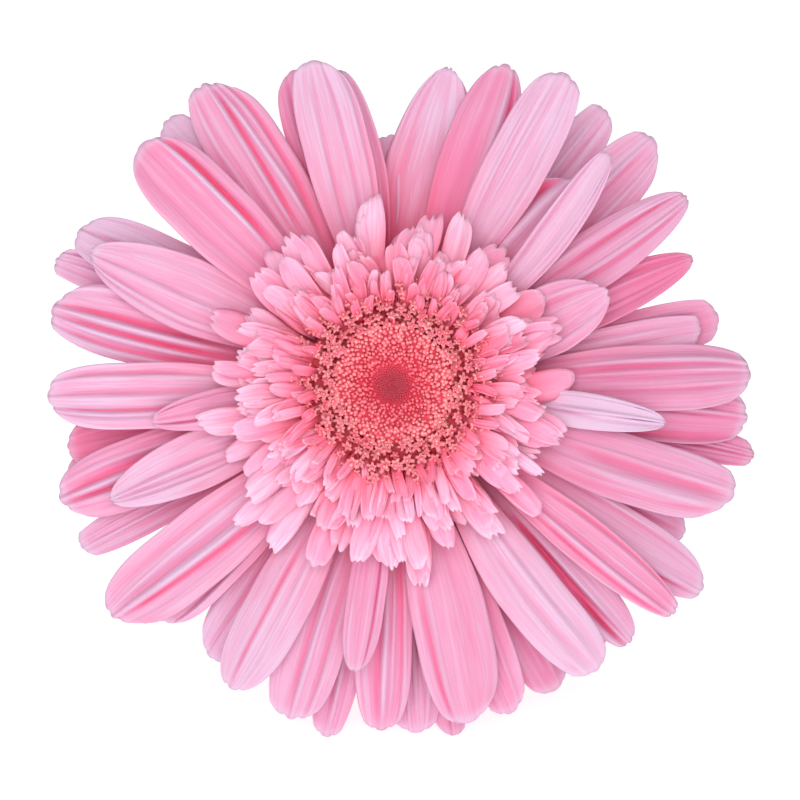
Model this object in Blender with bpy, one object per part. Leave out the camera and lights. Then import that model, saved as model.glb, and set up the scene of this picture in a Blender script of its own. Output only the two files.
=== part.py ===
"""A cut gerbera laid on a surface: it rests on two of its lowest ray florets and along the end of its stem.

The bloom is modelled about its own axis, +Z forwards and +Y up, in millimetres turned into metres by MM.
It then leans back on the surface to face -Y, and the stem runs away behind it along +Y.
"""

import math
import random
from typing import NamedTuple

import bmesh
import bpy
from mathutils import Matrix, Vector
from mathutils.geometry import interpolate_bezier

MM = 0.001
GAP = 0.3

# How the flower lies.
LEAN_BACK = math.radians(18.0)
BLOOM_HEIGHT = 55.2

# The receptacle, a cone whose flat top carries the florets and whose rim carries the rays.
RECEPTACLE_RADIUS = 12.6
RIM_DEPTH = 5.0
NECK_RADIUS = 3.4
NECK_DEPTH = 12.0

# The stem.
STEM_RADII = (2.9, 2.6, 3.4)
STEM_SIDES = 12
STEM_STATIONS = 26
STEM_STRAIGHT_RUN = 96.0
STEM_LANDING = 172.0
STEM_END = 258.0
STEM_DRIFT = 11.0
CUT_SLANT = 0.7
CUT_LENGTH = 14.0

# Ray florets. A ray's strap is thin, narrow at its root and blunt at its tip.
ROOT_RADIUS = RECEPTACLE_RADIUS + GAP
SHOULDER_RADIUS = 30.0
RING_RADIUS = 56.0
RAY_THICKNESS = 0.55
RAY_CELLS_LONG = 7
RAY_CELLS_WIDE = 4
CLAW_SHARE = 0.28
TIP_SHARE = 0.35
SWELL_END = 0.65
TIP_START = 0.7
TIP_CROWDING = 0.1
REFERENCE_HALF_WIDTH = 5.0

# How far one ray differs from the next.
SEED = 11
CAMBER = 0.65
ROLL = math.radians(3.5)
BOW = 0.5
LIFT = 0.35

FLOOR_STEPS = 6

SATIN = 0.55
SHARP_ANGLE = math.radians(40.0)
MERGE_DISTANCE = 0.001
GREEN = (0.22, 0.36, 0.10)
PALE_PINK = (0.90, 0.50, 0.66)
PINK = (0.87, 0.38, 0.54)
DEEP_PINK = (0.78, 0.25, 0.42)
CORAL = (0.74, 0.16, 0.20)
RASPBERRY = (0.42, 0.05, 0.09)


class Ray(NamedTuple):
    """One ray floret seen from the front, with angles in degrees anticlockwise from +X.

    reach is the distance from the bloom's axis to the tip. A ray with none is as long as it takes to
    touch the surface that the flower lies on.
    """

    root: float
    tip: float
    reach: float | None
    width: float


class Whorl(NamedTuple):
    """A layer of rays that share one bowl: its heights at ROOT_RADIUS, SHOULDER_RADIUS and RING_RADIUS."""

    name: str
    heights: tuple[float, float, float]
    colour: tuple[float, float, float]
    rays: tuple[Ray, ...]


class Sway(NamedTuple):
    """How one ray's strap is bent: hollow across, turned about its length, bowed sideways and lifted."""

    camber: float
    roll: float
    bow: float
    lift: float


WHORLS = (
    Whorl(
        "short_ray",
        (-0.15, 3.3, 4.0),
        PALE_PINK,
        (
            Ray(12.0, 24.0, 37.0, 11.0),
            Ray(36.0, 47.0, 50.0, 7.5),
            Ray(188.5, 188.5, 38.6, 8.0),
            Ray(262.5, 262.5, 45.7, 7.5),
            Ray(352.0, 352.0, 43.4, 6.5),
        ),
    ),
    Whorl(
        "front_ray",
        (-1.25, 1.2, 1.1),
        PALE_PINK,
        (
            Ray(1.5, 1.5, 57.0, 10.5),
            Ray(32.7, 32.7, 55.5, 9.5),
            Ray(61.0, 61.0, 56.6, 11.8),
            Ray(103.5, 103.5, 53.2, 10.5),
            Ray(136.0, 136.0, 55.3, 12.0),
            Ray(156.5, 156.5, 52.6, 12.0),
            Ray(182.0, 182.0, 55.0, 10.5),
            Ray(202.0, 202.0, 48.6, 9.5),
            Ray(219.5, 219.5, 57.9, 12.0),
            Ray(242.0, 242.0, 54.7, 10.0),
            Ray(283.0, 283.0, 55.0, 12.0),
            Ray(305.5, 305.5, 55.8, 12.0),
            Ray(321.0, 321.0, 57.7, 7.5),
            Ray(341.5, 341.5, 57.0, 12.0),
        ),
    ),
    Whorl(
        "middle_ray",
        (-2.35, -0.9, -1.6),
        PINK,
        (
            Ray(10.0, 10.0, 50.0, 7.0),
            Ray(22.9, 22.9, 52.0, 8.6),
            Ray(48.0, 49.0, 43.4, 10.0),
            Ray(70.5, 70.5, 54.5, 11.0),
            Ray(99.5, 99.5, 51.0, 9.0),
            Ray(122.0, 122.0, 57.0, 12.0),
            Ray(166.9, 166.9, 55.8, 11.5),
            Ray(199.0, 199.0, 56.4, 11.0),
            Ray(225.0, 225.0, 56.6, 9.0),
            Ray(252.8, 252.8, 55.8, 10.8),
            Ray(268.0, 268.0, 55.3, 9.0),
            Ray(290.0, 290.0, 55.8, 8.0),
            Ray(312.8, 312.8, 56.0, 7.8),
            Ray(326.8, 326.8, 59.3, 9.3),
            Ray(354.5, 354.5, 57.0, 10.0),
        ),
    ),
    Whorl(
        "back_ray",
        (-3.45, -3.1, -4.4),
        DEEP_PINK,
        (
            Ray(11.7, 11.7, 53.4, 8.5),
            Ray(42.9, 42.9, 57.7, 10.5),
            Ray(88.0, 79.5, 51.8, 12.0),
            Ray(108.0, 108.0, 53.0, 8.0),
            Ray(131.0, 131.0, 56.1, 9.5),
            Ray(153.5, 153.5, 56.3, 10.0),
            Ray(207.5, 207.5, 56.5, 6.5),
            Ray(235.7, 235.7, 52.6, 9.0),
            Ray(259.0, 259.0, None, 7.0),
            Ray(279.5, 279.5, None, 7.0),
            Ray(298.3, 298.3, 55.6, 10.5),
            Ray(333.5, 333.5, 53.8, 9.0),
            Ray(349.0, 349.0, 59.0, 6.0),
        ),
    ),
    Whorl(
        "rear_ray",
        (-4.55, -5.2, -7.0),
        DEEP_PINK,
        (
            Ray(52.0, 52.0, 57.5, 8.0),
            Ray(159.5, 159.5, 58.2, 6.5),
            Ray(190.5, 190.5, 53.4, 9.0),
        ),
    ),
)


class Ring(NamedTuple):
    """A ring of florets or bracts grown side by side: a thin skirt whose outer edge is cut into points.

    section runs outwards from the root as (radius, height) along the middle of the skirt. Between two
    points of the edge, its last stop is drawn in by notch.
    """

    name: str
    section: tuple[tuple[float, float], ...]
    thickness: float
    points: int
    notch: float
    colour: tuple[float, float, float]


RINGS = (
    Ring(
        "trans_florets_outer",
        section=((11.9, 0.55), (14.6, 3.7), (20.0, 5.2), (36.0, 5.7)),
        thickness=0.7,
        points=26,
        notch=6.0,
        colour=PALE_PINK,
    ),
    Ring(
        "trans_florets_middle",
        section=((10.8, 0.55), (13.6, 4.4), (18.2, 6.4), (30.0, 6.9)),
        thickness=0.7,
        points=24,
        notch=5.0,
        colour=PALE_PINK,
    ),
    Ring(
        "trans_florets_inner",
        section=((9.7, 0.55), (12.4, 5.0), (16.6, 7.5), (23.5, 8.2)),
        thickness=0.7,
        points=22,
        notch=3.5,
        colour=PINK,
    ),
    Ring(
        "involucre_inner",
        section=((3.9, -12.3), (9.0, -8.6), (13.2, -6.2), (18.5, -6.4)),
        thickness=0.7,
        points=18,
        notch=3.0,
        colour=GREEN,
    ),
    Ring(
        "involucre_outer",
        section=((4.6, -13.1), (9.4, -9.6), (12.4, -7.9), (15.2, -7.9)),
        thickness=0.7,
        points=16,
        notch=2.6,
        colour=GREEN,
    ),
)


class Turned(NamedTuple):
    """A solid of revolution about the bloom's axis, its outline running anticlockwise in (radius, height).

    ripple scales every other spoke of the points that stand out past ripple_radius.
    """

    name: str
    outline: tuple[tuple[float, float], ...]
    spokes: int
    ripple: float
    ripple_radius: float
    colour: tuple[float, float, float]


TURNED = (
    Turned(
        "receptacle",
        outline=(
            (0.0, -NECK_DEPTH),
            (NECK_RADIUS, -NECK_DEPTH),
            (RECEPTACLE_RADIUS, -RIM_DEPTH),
            (RECEPTACLE_RADIUS, 0.0),
            (0.0, 0.0),
        ),
        spokes=36,
        ripple=0.0,
        ripple_radius=RECEPTACLE_RADIUS,
        colour=GREEN,
    ),
    Turned(
        "disc_florets_open",
        outline=(
            (6.2, GAP),
            (8.7, GAP),
            (11.2, 4.8),
            (15.4, 7.9),
            (14.6, 9.8),
            (11.2, 10.6),
            (9.0, 9.4),
            (7.5, 4.8),
        ),
        spokes=36,
        ripple=0.05,
        ripple_radius=13.0,
        colour=CORAL,
    ),
    Turned(
        "disc_florets_budded",
        outline=(
            (2.6, GAP),
            (5.9, GAP),
            (7.1, 4.8),
            (8.6, 9.4),
            (7.2, 10.2),
            (4.9, 9.4),
            (3.6, 7.6),
            (3.0, 4.8),
        ),
        spokes=28,
        ripple=0.04,
        ripple_radius=6.0,
        colour=CORAL,
    ),
    Turned(
        "disc_centre",
        outline=((0.0, GAP), (2.3, GAP), (2.7, 4.8), (3.2, 7.4), (2.0, 7.9), (0.0, 7.6)),
        spokes=18,
        ripple=0.0,
        ripple_radius=3.0,
        colour=RASPBERRY,
    ),
)


def clear_scene() -> None:
    """Removes every object that the file starts with."""
    for item in list(bpy.data.objects):
        bpy.data.objects.remove(item, do_unlink=True)


def make_finish(name: str, colour: tuple[float, float, float]) -> bpy.types.Material:
    """Makes a plain satin material of one colour."""
    material = bpy.data.materials.new(name + "_finish")
    material.use_nodes = True
    shader = material.node_tree.nodes["Principled BSDF"]
    shader.inputs["Base Color"].default_value = (*colour, 1.0)
    shader.inputs["Roughness"].default_value = SATIN
    shader.inputs["Metallic"].default_value = 0.0
    return material


def make_object(name: str, shape: bmesh.types.BMesh, parent: bpy.types.Object, colour) -> bpy.types.Object:
    """Turns a shape in millimetres into a named object in metres under its parent."""
    bmesh.ops.scale(shape, vec=Vector((MM, MM, MM)), verts=shape.verts)
    mesh = bpy.data.meshes.new(name)
    shape.to_mesh(mesh)
    shape.free()
    mesh.shade_smooth()
    mesh.set_sharp_from_angle(angle=SHARP_ANGLE)
    mesh.materials.append(make_finish(name, colour))
    item = bpy.data.objects.new(name, mesh)
    item.parent = parent
    bpy.context.collection.objects.link(item)
    return item


def thicken(item: bpy.types.Object, thickness: float) -> None:
    """Gives an open sheet its thickness, half to each side."""
    wall = item.modifiers.new("thickness", "SOLIDIFY")
    wall.thickness = thickness * MM
    wall.offset = 0.0


def make_frames() -> tuple[bpy.types.Object, bpy.types.Object]:
    """Makes the flower's frame and, in it, the bloom's: leaning back, its centre at BLOOM_HEIGHT."""
    flower = bpy.data.objects.new("flower_frame", None)
    bloom = bpy.data.objects.new("bloom_frame", None)
    bloom.parent = flower
    bloom.location = (0.0, 0.0, BLOOM_HEIGHT * MM)
    bloom.rotation_euler = (math.pi / 2 - LEAN_BACK, 0.0, 0.0)
    for frame in (flower, bloom):
        bpy.context.collection.objects.link(frame)
    return flower, bloom


def polar(radius: float, degrees: float) -> Vector:
    """A point of the bloom's plane."""
    angle = math.radians(degrees)
    return Vector((radius * math.cos(angle), radius * math.sin(angle), 0.0))


def smooth_step(value: float) -> float:
    """Eases from 0 to 1 while value does."""
    held = min(max(value, 0.0), 1.0)
    return held * held * (3.0 - 2.0 * held)


def whorl_height(heights: tuple[float, float, float], radius: float) -> float:
    """Height of a whorl at a radius: a parabola through its root, shoulder and ring heights."""
    root, shoulder, ring = heights
    inner_slope = (shoulder - root) / (SHOULDER_RADIUS - ROOT_RADIUS)
    outer_slope = (ring - shoulder) / (RING_RADIUS - SHOULDER_RADIUS)
    bend = (outer_slope - inner_slope) / (RING_RADIUS - ROOT_RADIUS)
    past_root = radius - ROOT_RADIUS
    return root + inner_slope * past_root + bend * past_root * (radius - SHOULDER_RADIUS)


def half_width(width: float, along: float) -> float:
    """Half of a ray's width, from its narrow claw at 0 to its blunt tip at 1."""
    swell = CLAW_SHARE + (1.0 - CLAW_SHARE) * smooth_step(along / SWELL_END)
    past = max(along - TIP_START, 0.0) / (1.0 - TIP_START)
    return width / 2.0 * swell * math.sqrt(1.0 - past * past * (1.0 - TIP_SHARE**2))


def ray_root(ray: Ray, tip: Vector) -> Vector:
    """Where a ray's claw starts: further out if it leans, so that its inner corner clears the receptacle."""
    outward = polar(1.0, ray.root)
    straight = (tip - outward * ROOT_RADIUS).normalized()
    skew = abs(straight.cross(outward).z)
    return outward * (ROOT_RADIUS + skew * half_width(ray.width, 0.0))


def ray_point(ray: Ray, reach: float, heights, sway: Sway, along: float, across: float) -> Vector:
    """A point of a ray's middle surface, along from root 0 to tip 1 and across from edge -1 to edge 1."""
    tip = polar(reach, ray.tip)
    root = ray_root(ray, tip)
    side = (tip - root).normalized().cross(Vector((0.0, 0.0, -1.0)))
    spine = root.lerp(tip, along) + side * (sway.bow * math.sin(math.pi * along))
    offset = across * half_width(ray.width, along)
    hollow = sway.camber * (offset / REFERENCE_HALF_WIDTH) ** 2
    tilt = offset * math.tan(sway.roll)
    height = whorl_height(heights, spine.length) + hollow + tilt + sway.lift * along**2
    return spine + side * offset + Vector((0.0, 0.0, height))


def ray_shape(ray: Ray, reach: float, heights, sway: Sway) -> bmesh.types.BMesh:
    """A ray's strap as an open sheet, with its stops crowded towards the tip."""
    shape = bmesh.new()
    bmesh.ops.create_grid(shape, x_segments=RAY_CELLS_LONG, y_segments=RAY_CELLS_WIDE, size=0.5)
    for vertex in shape.verts:
        share = vertex.co.x + 0.5
        along = share + TIP_CROWDING * math.sin(math.pi * share)
        vertex.co = ray_point(ray, reach, heights, sway, along, 2.0 * vertex.co.y)
    return shape


def drop_below_centre(point: Vector) -> float:
    """How far a point of the leaning bloom lies below the bloom's centre."""
    return -(point.y * math.cos(LEAN_BACK) + point.z * math.sin(LEAN_BACK))


def floor_reach(ray: Ray, heights, sway: Sway) -> float:
    """The reach at which a ray's lowest point lies on the surface under the flower."""
    reach = BLOOM_HEIGHT
    for _ in range(FLOOR_STEPS):
        shape = ray_shape(ray, reach, heights, sway)
        lowest = max(drop_below_centre(vertex.co) for vertex in shape.verts)
        shape.free()
        reach += BLOOM_HEIGHT - lowest
    return reach


def build_rays(bloom: bpy.types.Object) -> None:
    """Builds every whorl, one object for each ray."""
    chance = random.Random(SEED)
    for whorl in WHORLS:
        for number, ray in enumerate(whorl.rays, start=1):
            sway = Sway(
                camber=chance.uniform(-CAMBER, CAMBER),
                roll=chance.uniform(-ROLL, ROLL),
                bow=chance.uniform(-BOW, BOW),
                lift=chance.uniform(-LIFT, LIFT),
            )
            reach = ray.reach or floor_reach(ray, whorl.heights, sway)
            shape = ray_shape(ray, reach, whorl.heights, sway)
            strap = make_object(f"{whorl.name}_{number:02d}", shape, bloom, whorl.colour)
            thicken(strap, RAY_THICKNESS)


def spun(section, spokes: int) -> bmesh.types.BMesh:
    """Spins a chain of (radius, height) points round the bloom's axis and joins it to its start."""
    shape = bmesh.new()
    chain = [shape.verts.new((radius, 0.0, height)) for radius, height in section]
    edges = [shape.edges.new(pair) for pair in zip(chain, chain[1:])]
    bmesh.ops.spin(
        shape,
        geom=chain + edges,
        cent=Vector(),
        axis=Vector((0.0, 0.0, 1.0)),
        angle=math.tau,
        steps=spokes,
        use_merge=True,
    )
    bmesh.ops.remove_doubles(shape, verts=shape.verts, dist=MERGE_DISTANCE)
    bmesh.ops.recalc_face_normals(shape, faces=shape.faces)
    return shape


def spoke_number(vertex: bmesh.types.BMVert, spokes: int) -> int:
    """Which spoke of a spun shape a vertex lies on."""
    return round(math.atan2(vertex.co.y, vertex.co.x) / math.tau * spokes) % spokes


def build_rings(bloom: bpy.types.Object) -> None:
    """Builds the rings of trans florets and of bracts."""
    for ring in RINGS:
        spokes = 2 * ring.points
        shape = spun(ring.section, spokes)
        edge_radius = ring.section[-1][0]
        for vertex in shape.verts:
            radius = vertex.co.xy.length
            if radius > edge_radius - MERGE_DISTANCE and spoke_number(vertex, spokes) % 2:
                vertex.co.xy *= (edge_radius - ring.notch) / radius
        thicken(make_object(ring.name, shape, bloom, ring.colour), ring.thickness)


def build_turned(bloom: bpy.types.Object) -> None:
    """Builds the receptacle and the masses of disc florets."""
    for part in TURNED:
        closed = part.outline if part.outline[0][0] == 0 else (*part.outline, part.outline[0])
        shape = spun(closed, part.spokes)
        for vertex in shape.verts:
            if vertex.co.xy.length > part.ripple_radius and spoke_number(vertex, part.spokes) % 2:
                vertex.co.xy *= 1.0 - part.ripple
        make_object(part.name, shape, bloom, part.colour)


def stem_path() -> list[Vector]:
    """The stem's centre line, from the receptacle's neck to the cut end that lies on the surface."""
    axis = Vector((0.0, -math.cos(LEAN_BACK), math.sin(LEAN_BACK)))
    top = Vector((0.0, 0.0, BLOOM_HEIGHT)) - axis * (NECK_DEPTH + GAP)
    straight = top - axis * STEM_STRAIGHT_RUN
    lying_height = STEM_RADII[2] * math.cos(math.pi / STEM_SIDES)
    landing = Vector((STEM_DRIFT / 2.0, STEM_LANDING, lying_height))
    end = Vector((STEM_DRIFT, STEM_END, lying_height))
    return interpolate_bezier(top, straight, landing, end, STEM_STATIONS)


def stem_radius(along: float) -> float:
    """The stem's radius: slimmest in the middle of its length and thickest at its cut end."""
    top, middle, end = STEM_RADII
    if along < 0.5:
        return top + (middle - top) * smooth_step(2.0 * along)
    return middle + (end - middle) * smooth_step(2.0 * along - 1.0)


def build_stem(flower: bpy.types.Object) -> None:
    """Builds the stem from a straight rod, laid along the path stop by stop, with its end cut aslant."""
    path = stem_path()
    last = len(path) - 1
    shape = bmesh.new()
    bmesh.ops.create_cone(
        shape,
        cap_ends=True,
        segments=STEM_SIDES,
        radius1=1.0,
        radius2=1.0,
        depth=last,
        matrix=Matrix.Rotation(math.pi / STEM_SIDES, 4, "Z"),
    )
    long_edges = [edge for edge in shape.edges if edge.calc_length() > last / 2.0]
    bmesh.ops.subdivide_edges(shape, edges=long_edges, cuts=last - 1)
    for vertex in shape.verts:
        stop = round(vertex.co.z + last / 2.0)
        ahead = path[min(stop + 1, last)]
        behind = path[max(stop - 1, 0)]
        forward = (ahead - behind).normalized()
        sideways = Vector((0.0, 0.0, 1.0)).cross(forward).normalized()
        upward = forward.cross(sideways)
        radius = stem_radius(stop / last)
        offset = (sideways * vertex.co.x + upward * vertex.co.y) * radius
        left = (path[last] - path[stop]).length
        slant = max(1.0 - left / CUT_LENGTH, 0.0) * CUT_SLANT * radius * vertex.co.y
        vertex.co = path[stop] + offset - forward * slant
    make_object("stem", shape, flower, GREEN)


def centre_on_origin(flower: bpy.types.Object) -> None:
    """Puts the origin under the middle of the flower's box, on the surface that it lies on."""
    bpy.context.view_layer.update()
    graph = bpy.context.evaluated_depsgraph_get()
    corners = []
    for item in bpy.data.objects:
        if item.type == "MESH":
            shown = item.evaluated_get(graph)
            corners += [shown.matrix_world @ vertex.co for vertex in shown.data.vertices]
    lows = [min(corner[axis] for corner in corners) for axis in range(3)]
    highs = [max(corner[axis] for corner in corners) for axis in range(3)]
    flower.location = (-(lows[0] + highs[0]) / 2.0, -(lows[1] + highs[1]) / 2.0, -lows[2])


def main() -> None:
    """Builds the whole flower."""
    clear_scene()
    flower, bloom = make_frames()
    build_turned(bloom)
    build_rings(bloom)
    build_rays(bloom)
    build_stem(flower)
    centre_on_origin(flower)


main()
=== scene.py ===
"""The finished look of a cut gerbera that lies on a pale surface, its bloom leaning back on its lowest rays.

Every sub-assembly of the flower is a class: its sizes are fields, in millimetres where nothing else is said,
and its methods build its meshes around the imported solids, dress them and hand them back. The bloom is
modelled in its own frame, BloomSpace, and placed once. Soft tissue is a Strap, a strip whose outline, folds
and bowl are formulas. A Span is a pair of numbers: the ends of a draw by chance, the start and length of a
stretch, or a start and a gain.
"""

import logging
import math
import random
from collections.abc import Callable
from dataclasses import dataclass, field, replace
from enum import Enum
from typing import TypeAlias

import bmesh
import bpy
import numpy as np
from mathutils import Matrix, Vector
from mathutils.geometry import interpolate_bezier


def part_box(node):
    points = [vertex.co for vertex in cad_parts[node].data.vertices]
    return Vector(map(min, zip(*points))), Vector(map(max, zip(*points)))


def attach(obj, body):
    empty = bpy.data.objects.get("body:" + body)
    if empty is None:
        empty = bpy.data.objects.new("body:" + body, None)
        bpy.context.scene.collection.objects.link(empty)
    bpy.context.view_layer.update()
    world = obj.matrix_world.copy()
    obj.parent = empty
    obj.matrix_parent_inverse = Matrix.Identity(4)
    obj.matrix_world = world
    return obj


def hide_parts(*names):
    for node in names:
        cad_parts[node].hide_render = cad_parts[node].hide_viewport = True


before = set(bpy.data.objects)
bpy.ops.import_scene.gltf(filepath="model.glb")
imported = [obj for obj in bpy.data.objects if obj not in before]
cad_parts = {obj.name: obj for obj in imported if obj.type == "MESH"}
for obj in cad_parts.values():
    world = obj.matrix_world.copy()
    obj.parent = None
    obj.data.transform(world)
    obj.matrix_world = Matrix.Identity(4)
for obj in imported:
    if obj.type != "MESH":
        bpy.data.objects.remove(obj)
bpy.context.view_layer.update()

MM = 0.001
LEAN_BACK = math.radians(18.0)
GOLDEN_ANGLE = math.pi * (3.0 - math.sqrt(5.0))
UP = Vector((0.0, 0.0, 1.0))

Colour: TypeAlias = tuple[float, float, float]
Span: TypeAlias = tuple[float, float]
Operand: TypeAlias = "Signal | float"

log = logging.getLogger("gerbera")


def clamped(value: float) -> float:
    """A number, held between 0 and 1."""
    return min(max(value, 0.0), 1.0)


def eased(value: float, start: float = 0.0, stretch: float = 1.0) -> float:
    """Eases from 0 to 1 while a number crosses a stretch, and holds still outside."""
    share = clamped((value - start) / stretch)
    return share * share * (3.0 - 2.0 * share)


def grown(span: Span, share: float) -> float:
    """A number that starts at a span's first value and gains a share of its second."""
    return span[0] + span[1] * share


def turned(radius: float, angle: float, height: float = 0.0) -> Vector:
    """The point at a radius and angle round the bloom's axis."""
    return Vector((radius * math.cos(angle), radius * math.sin(angle), height))


# --------------------------------------------------------------------------------------------------
# Shaders


class Signal:
    """A shader socket that takes part in arithmetic: each operation adds the Math node that does it."""

    def __init__(self, surface: "Surface", socket: bpy.types.NodeSocket) -> None:
        """Wraps an output socket of a surface's node tree."""
        self.surface = surface
        self.socket = socket

    def _maths(self, operation: str, first: Operand, second: Operand) -> "Signal":
        """The result of one Math node."""
        return self.surface.result("ShaderNodeMath", {"operation": operation}, {0: first, 1: second})

    def __add__(self, other: Operand) -> "Signal":
        """This plus another."""
        return self._maths("ADD", self, other)

    def __radd__(self, other: Operand) -> "Signal":
        """Another plus this."""
        return self._maths("ADD", other, self)

    def __sub__(self, other: Operand) -> "Signal":
        """This minus another."""
        return self._maths("SUBTRACT", self, other)

    def __rsub__(self, other: Operand) -> "Signal":
        """Another minus this."""
        return self._maths("SUBTRACT", other, self)

    def __mul__(self, other: Operand) -> "Signal":
        """This times another."""
        return self._maths("MULTIPLY", self, other)

    def __rmul__(self, other: Operand) -> "Signal":
        """Another times this."""
        return self._maths("MULTIPLY", other, self)

    def __abs__(self) -> "Signal":
        """This without its sign."""
        return self._maths("ABSOLUTE", self, 0.0)

    def clamped(self) -> "Signal":
        """This, held between 0 and 1."""
        return self._maths("MINIMUM", self._maths("MAXIMUM", self, 0.0), 1.0)


class Surface:
    """A material under construction around one Principled shader."""

    def __init__(self, name: str, constants: dict[str, object]) -> None:
        """Starts a material.

        Args:
            name: The material's name.
            constants: Values of the shader's own sockets that are the same all over.
        """
        self.material = bpy.data.materials.new(name)
        self.material.use_nodes = True
        self.shader = self.material.node_tree.nodes["Principled BSDF"]
        self.feed(self.shader, constants)

    def feed(self, node: bpy.types.Node, inputs: dict[object, object]) -> None:
        """Sets or links a node's sockets.

        Args:
            node: The node.
            inputs: Values, colours or signals by socket name or number.
        """
        for key, value in inputs.items():
            if isinstance(value, Signal):
                self.material.node_tree.links.new(value.socket, node.inputs[key])
            elif isinstance(value, tuple) and node.inputs[key].type == "RGBA":
                node.inputs[key].default_value = (*value, 1.0)
            else:
                node.inputs[key].default_value = value

    def node(self, kind: str, settings: dict[str, object], inputs: dict[object, object]) -> bpy.types.Node:
        """Adds a node: its settings first, then its sockets.

        Args:
            kind: The node's type.
            settings: Its own settings by name.
            inputs: Values, colours or signals by socket name or number.

        Returns:
            The node.
        """
        node = self.material.node_tree.nodes.new(kind)
        for name, value in settings.items():
            setattr(node, name, value)
        self.feed(node, inputs)
        return node

    def result(
        self, kind: str, settings: dict[str, object], inputs: dict[object, object], output: int | str = 0
    ) -> Signal:
        """Adds a node as node() does, and hands back one of its outputs."""
        return Signal(self, self.node(kind, settings, inputs).outputs[output])

    def attribute(self, name: str) -> tuple[Signal, ...]:
        """The three numbers that a mesh attribute holds."""
        held = self.result("ShaderNodeAttribute", {"attribute_name": name}, {}, "Vector")
        return tuple(Signal(self, part) for part in self.node("ShaderNodeSeparateXYZ", {}, {0: held}).outputs)

    def vector(self, x: Operand, y: Operand, z: Operand) -> Signal:
        """A vector of three numbers."""
        return self.result("ShaderNodeCombineXYZ", {}, {0: x, 1: y, 2: z})

    def place(self) -> Signal:
        """The point's own Object coordinates, in metres."""
        return self.result("ShaderNodeTexCoord", {}, {}, "Object")

    def noise(self, vector: Signal, scale: float, detail: float = 2.0, roughness: float = 0.55) -> Signal:
        """Soft noise between 0 and 1, with so many cells to a unit and so many octaves beyond the first."""
        inputs = {"Vector": vector, "Scale": scale, "Detail": detail, "Roughness": roughness}
        return self.result("ShaderNodeTexNoise", {}, inputs, "Fac")

    def mix(self, share: Operand, low: Signal | Colour, high: Signal | Colour) -> Signal:
        """Mixes two colours: low at a share of 0, high at 1."""
        return self.result("ShaderNodeMix", {"data_type": "RGBA"}, {0: share, 6: low, 7: high}, 2)

    def bump(self, height: Signal, strength: float, distance: float) -> Signal:
        """A normal bent, at a strength, by a height from 0 to 1 that stands for a distance in metres."""
        inputs = {"Height": height, "Strength": strength, "Distance": distance}
        return self.result("ShaderNodeBump", {}, inputs, "Normal")


# Mesh attributes that carry the pattern of growth to the shaders.
STRAND = "strand"
GROWTH = "growth"


@dataclass(frozen=True)
class Tissue:
    """A plant tissue: colours that follow its growth, veins along its strands, and a soft satin surface.

    The growth attribute holds (tone, rim, root): tone runs from pale to blush, and darkens in grooves and
    pales on ridges as painted shade and painted highlight; rim shows at edges and tips, and carries painted
    highlights on ridges and bud tips; root deepens the feet and is mostly painted shade, at feet, in grooves,
    under overlapping edges and between florets. The strand attribute holds (across, along, seed), which the
    veins follow.
    Reliefs are shares of relief, a height in metres, and scales are cells to a metre.
    """

    name: str
    pale: Colour
    blush: Colour
    rim: Colour
    root: Colour
    vein: Colour
    vein_share: float = 0.4
    vein_count: float = 8.0
    vein_stretch: float = 1.6
    vein_sharpness: float = 11.0
    mottle: float = 0.3
    mottle_scale: float = 150.0
    grain_scale: float = 2600.0
    roughness: float = 0.5
    grain_roughness: float = 0.2
    mottle_roughness: float = 0.1
    gloss: float = 0.35
    relief: float = 0.00012
    relief_strength: float = 0.6
    fibre_relief: float = 0.8
    vein_relief: float = -0.25
    grain_relief: float = 0.15
    glow: float = 0.0
    glow_colour: Colour = (0.4, 1.0, 0.2)
    glow_depth: float = 0.003
    sheen: float = 0.0
    sheen_roughness: float = 0.4

    def material(self) -> bpy.types.Material:
        """Builds the tissue's material.

        Returns:
            The material, to be shared by every piece of this tissue.
        """
        surface = Surface(
            self.name,
            {
                "Subsurface Weight": self.glow,
                "Subsurface Radius": self.glow_colour,
                "Subsurface Scale": self.glow_depth,
                "Sheen Weight": self.sheen,
                "Sheen Roughness": self.sheen_roughness,
                "Specular IOR Level": self.gloss,
            },
        )
        tone, rim, root = surface.attribute(GROWTH)
        across, along, seed = surface.attribute(STRAND)
        strand = surface.vector(across * self.vein_count, along * self.vein_stretch, seed)
        fibres = surface.noise(strand, 1.0)
        veins = (1.0 - abs(fibres - 0.5) * self.vein_sharpness).clamped()
        mottling = surface.noise(surface.place(), self.mottle_scale) - 0.5
        grain = surface.noise(surface.place(), self.grain_scale, 1.0)
        shade = (tone + mottling * self.mottle + (fibres - 0.5) * (self.mottle * 2.0)).clamped()
        colour = surface.mix(shade, self.pale, self.blush)
        # Deep root colour: mostly painted shade at feet, in grooves, under overlapping edges and between
        # florets.
        colour = surface.mix(root, colour, self.root)
        colour = surface.mix(veins * self.vein_share, colour, self.vein)
        # Pale rim colour at edges and tips, with painted highlights on ridges and bud tips.
        colour = surface.mix(rim, colour, self.rim)
        height = fibres * self.fibre_relief + veins * self.vein_relief + grain * self.grain_relief
        roughness = self.roughness + (grain - 0.5) * self.grain_roughness + mottling * self.mottle_roughness
        surface.feed(
            surface.shader,
            {
                "Base Color": colour,
                "Roughness": roughness.clamped(),
                "Normal": surface.bump(height, self.relief_strength, self.relief),
            },
        )
        return surface.material


# The pink tissues' root colours are the deep colours of their painted shade.
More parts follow.
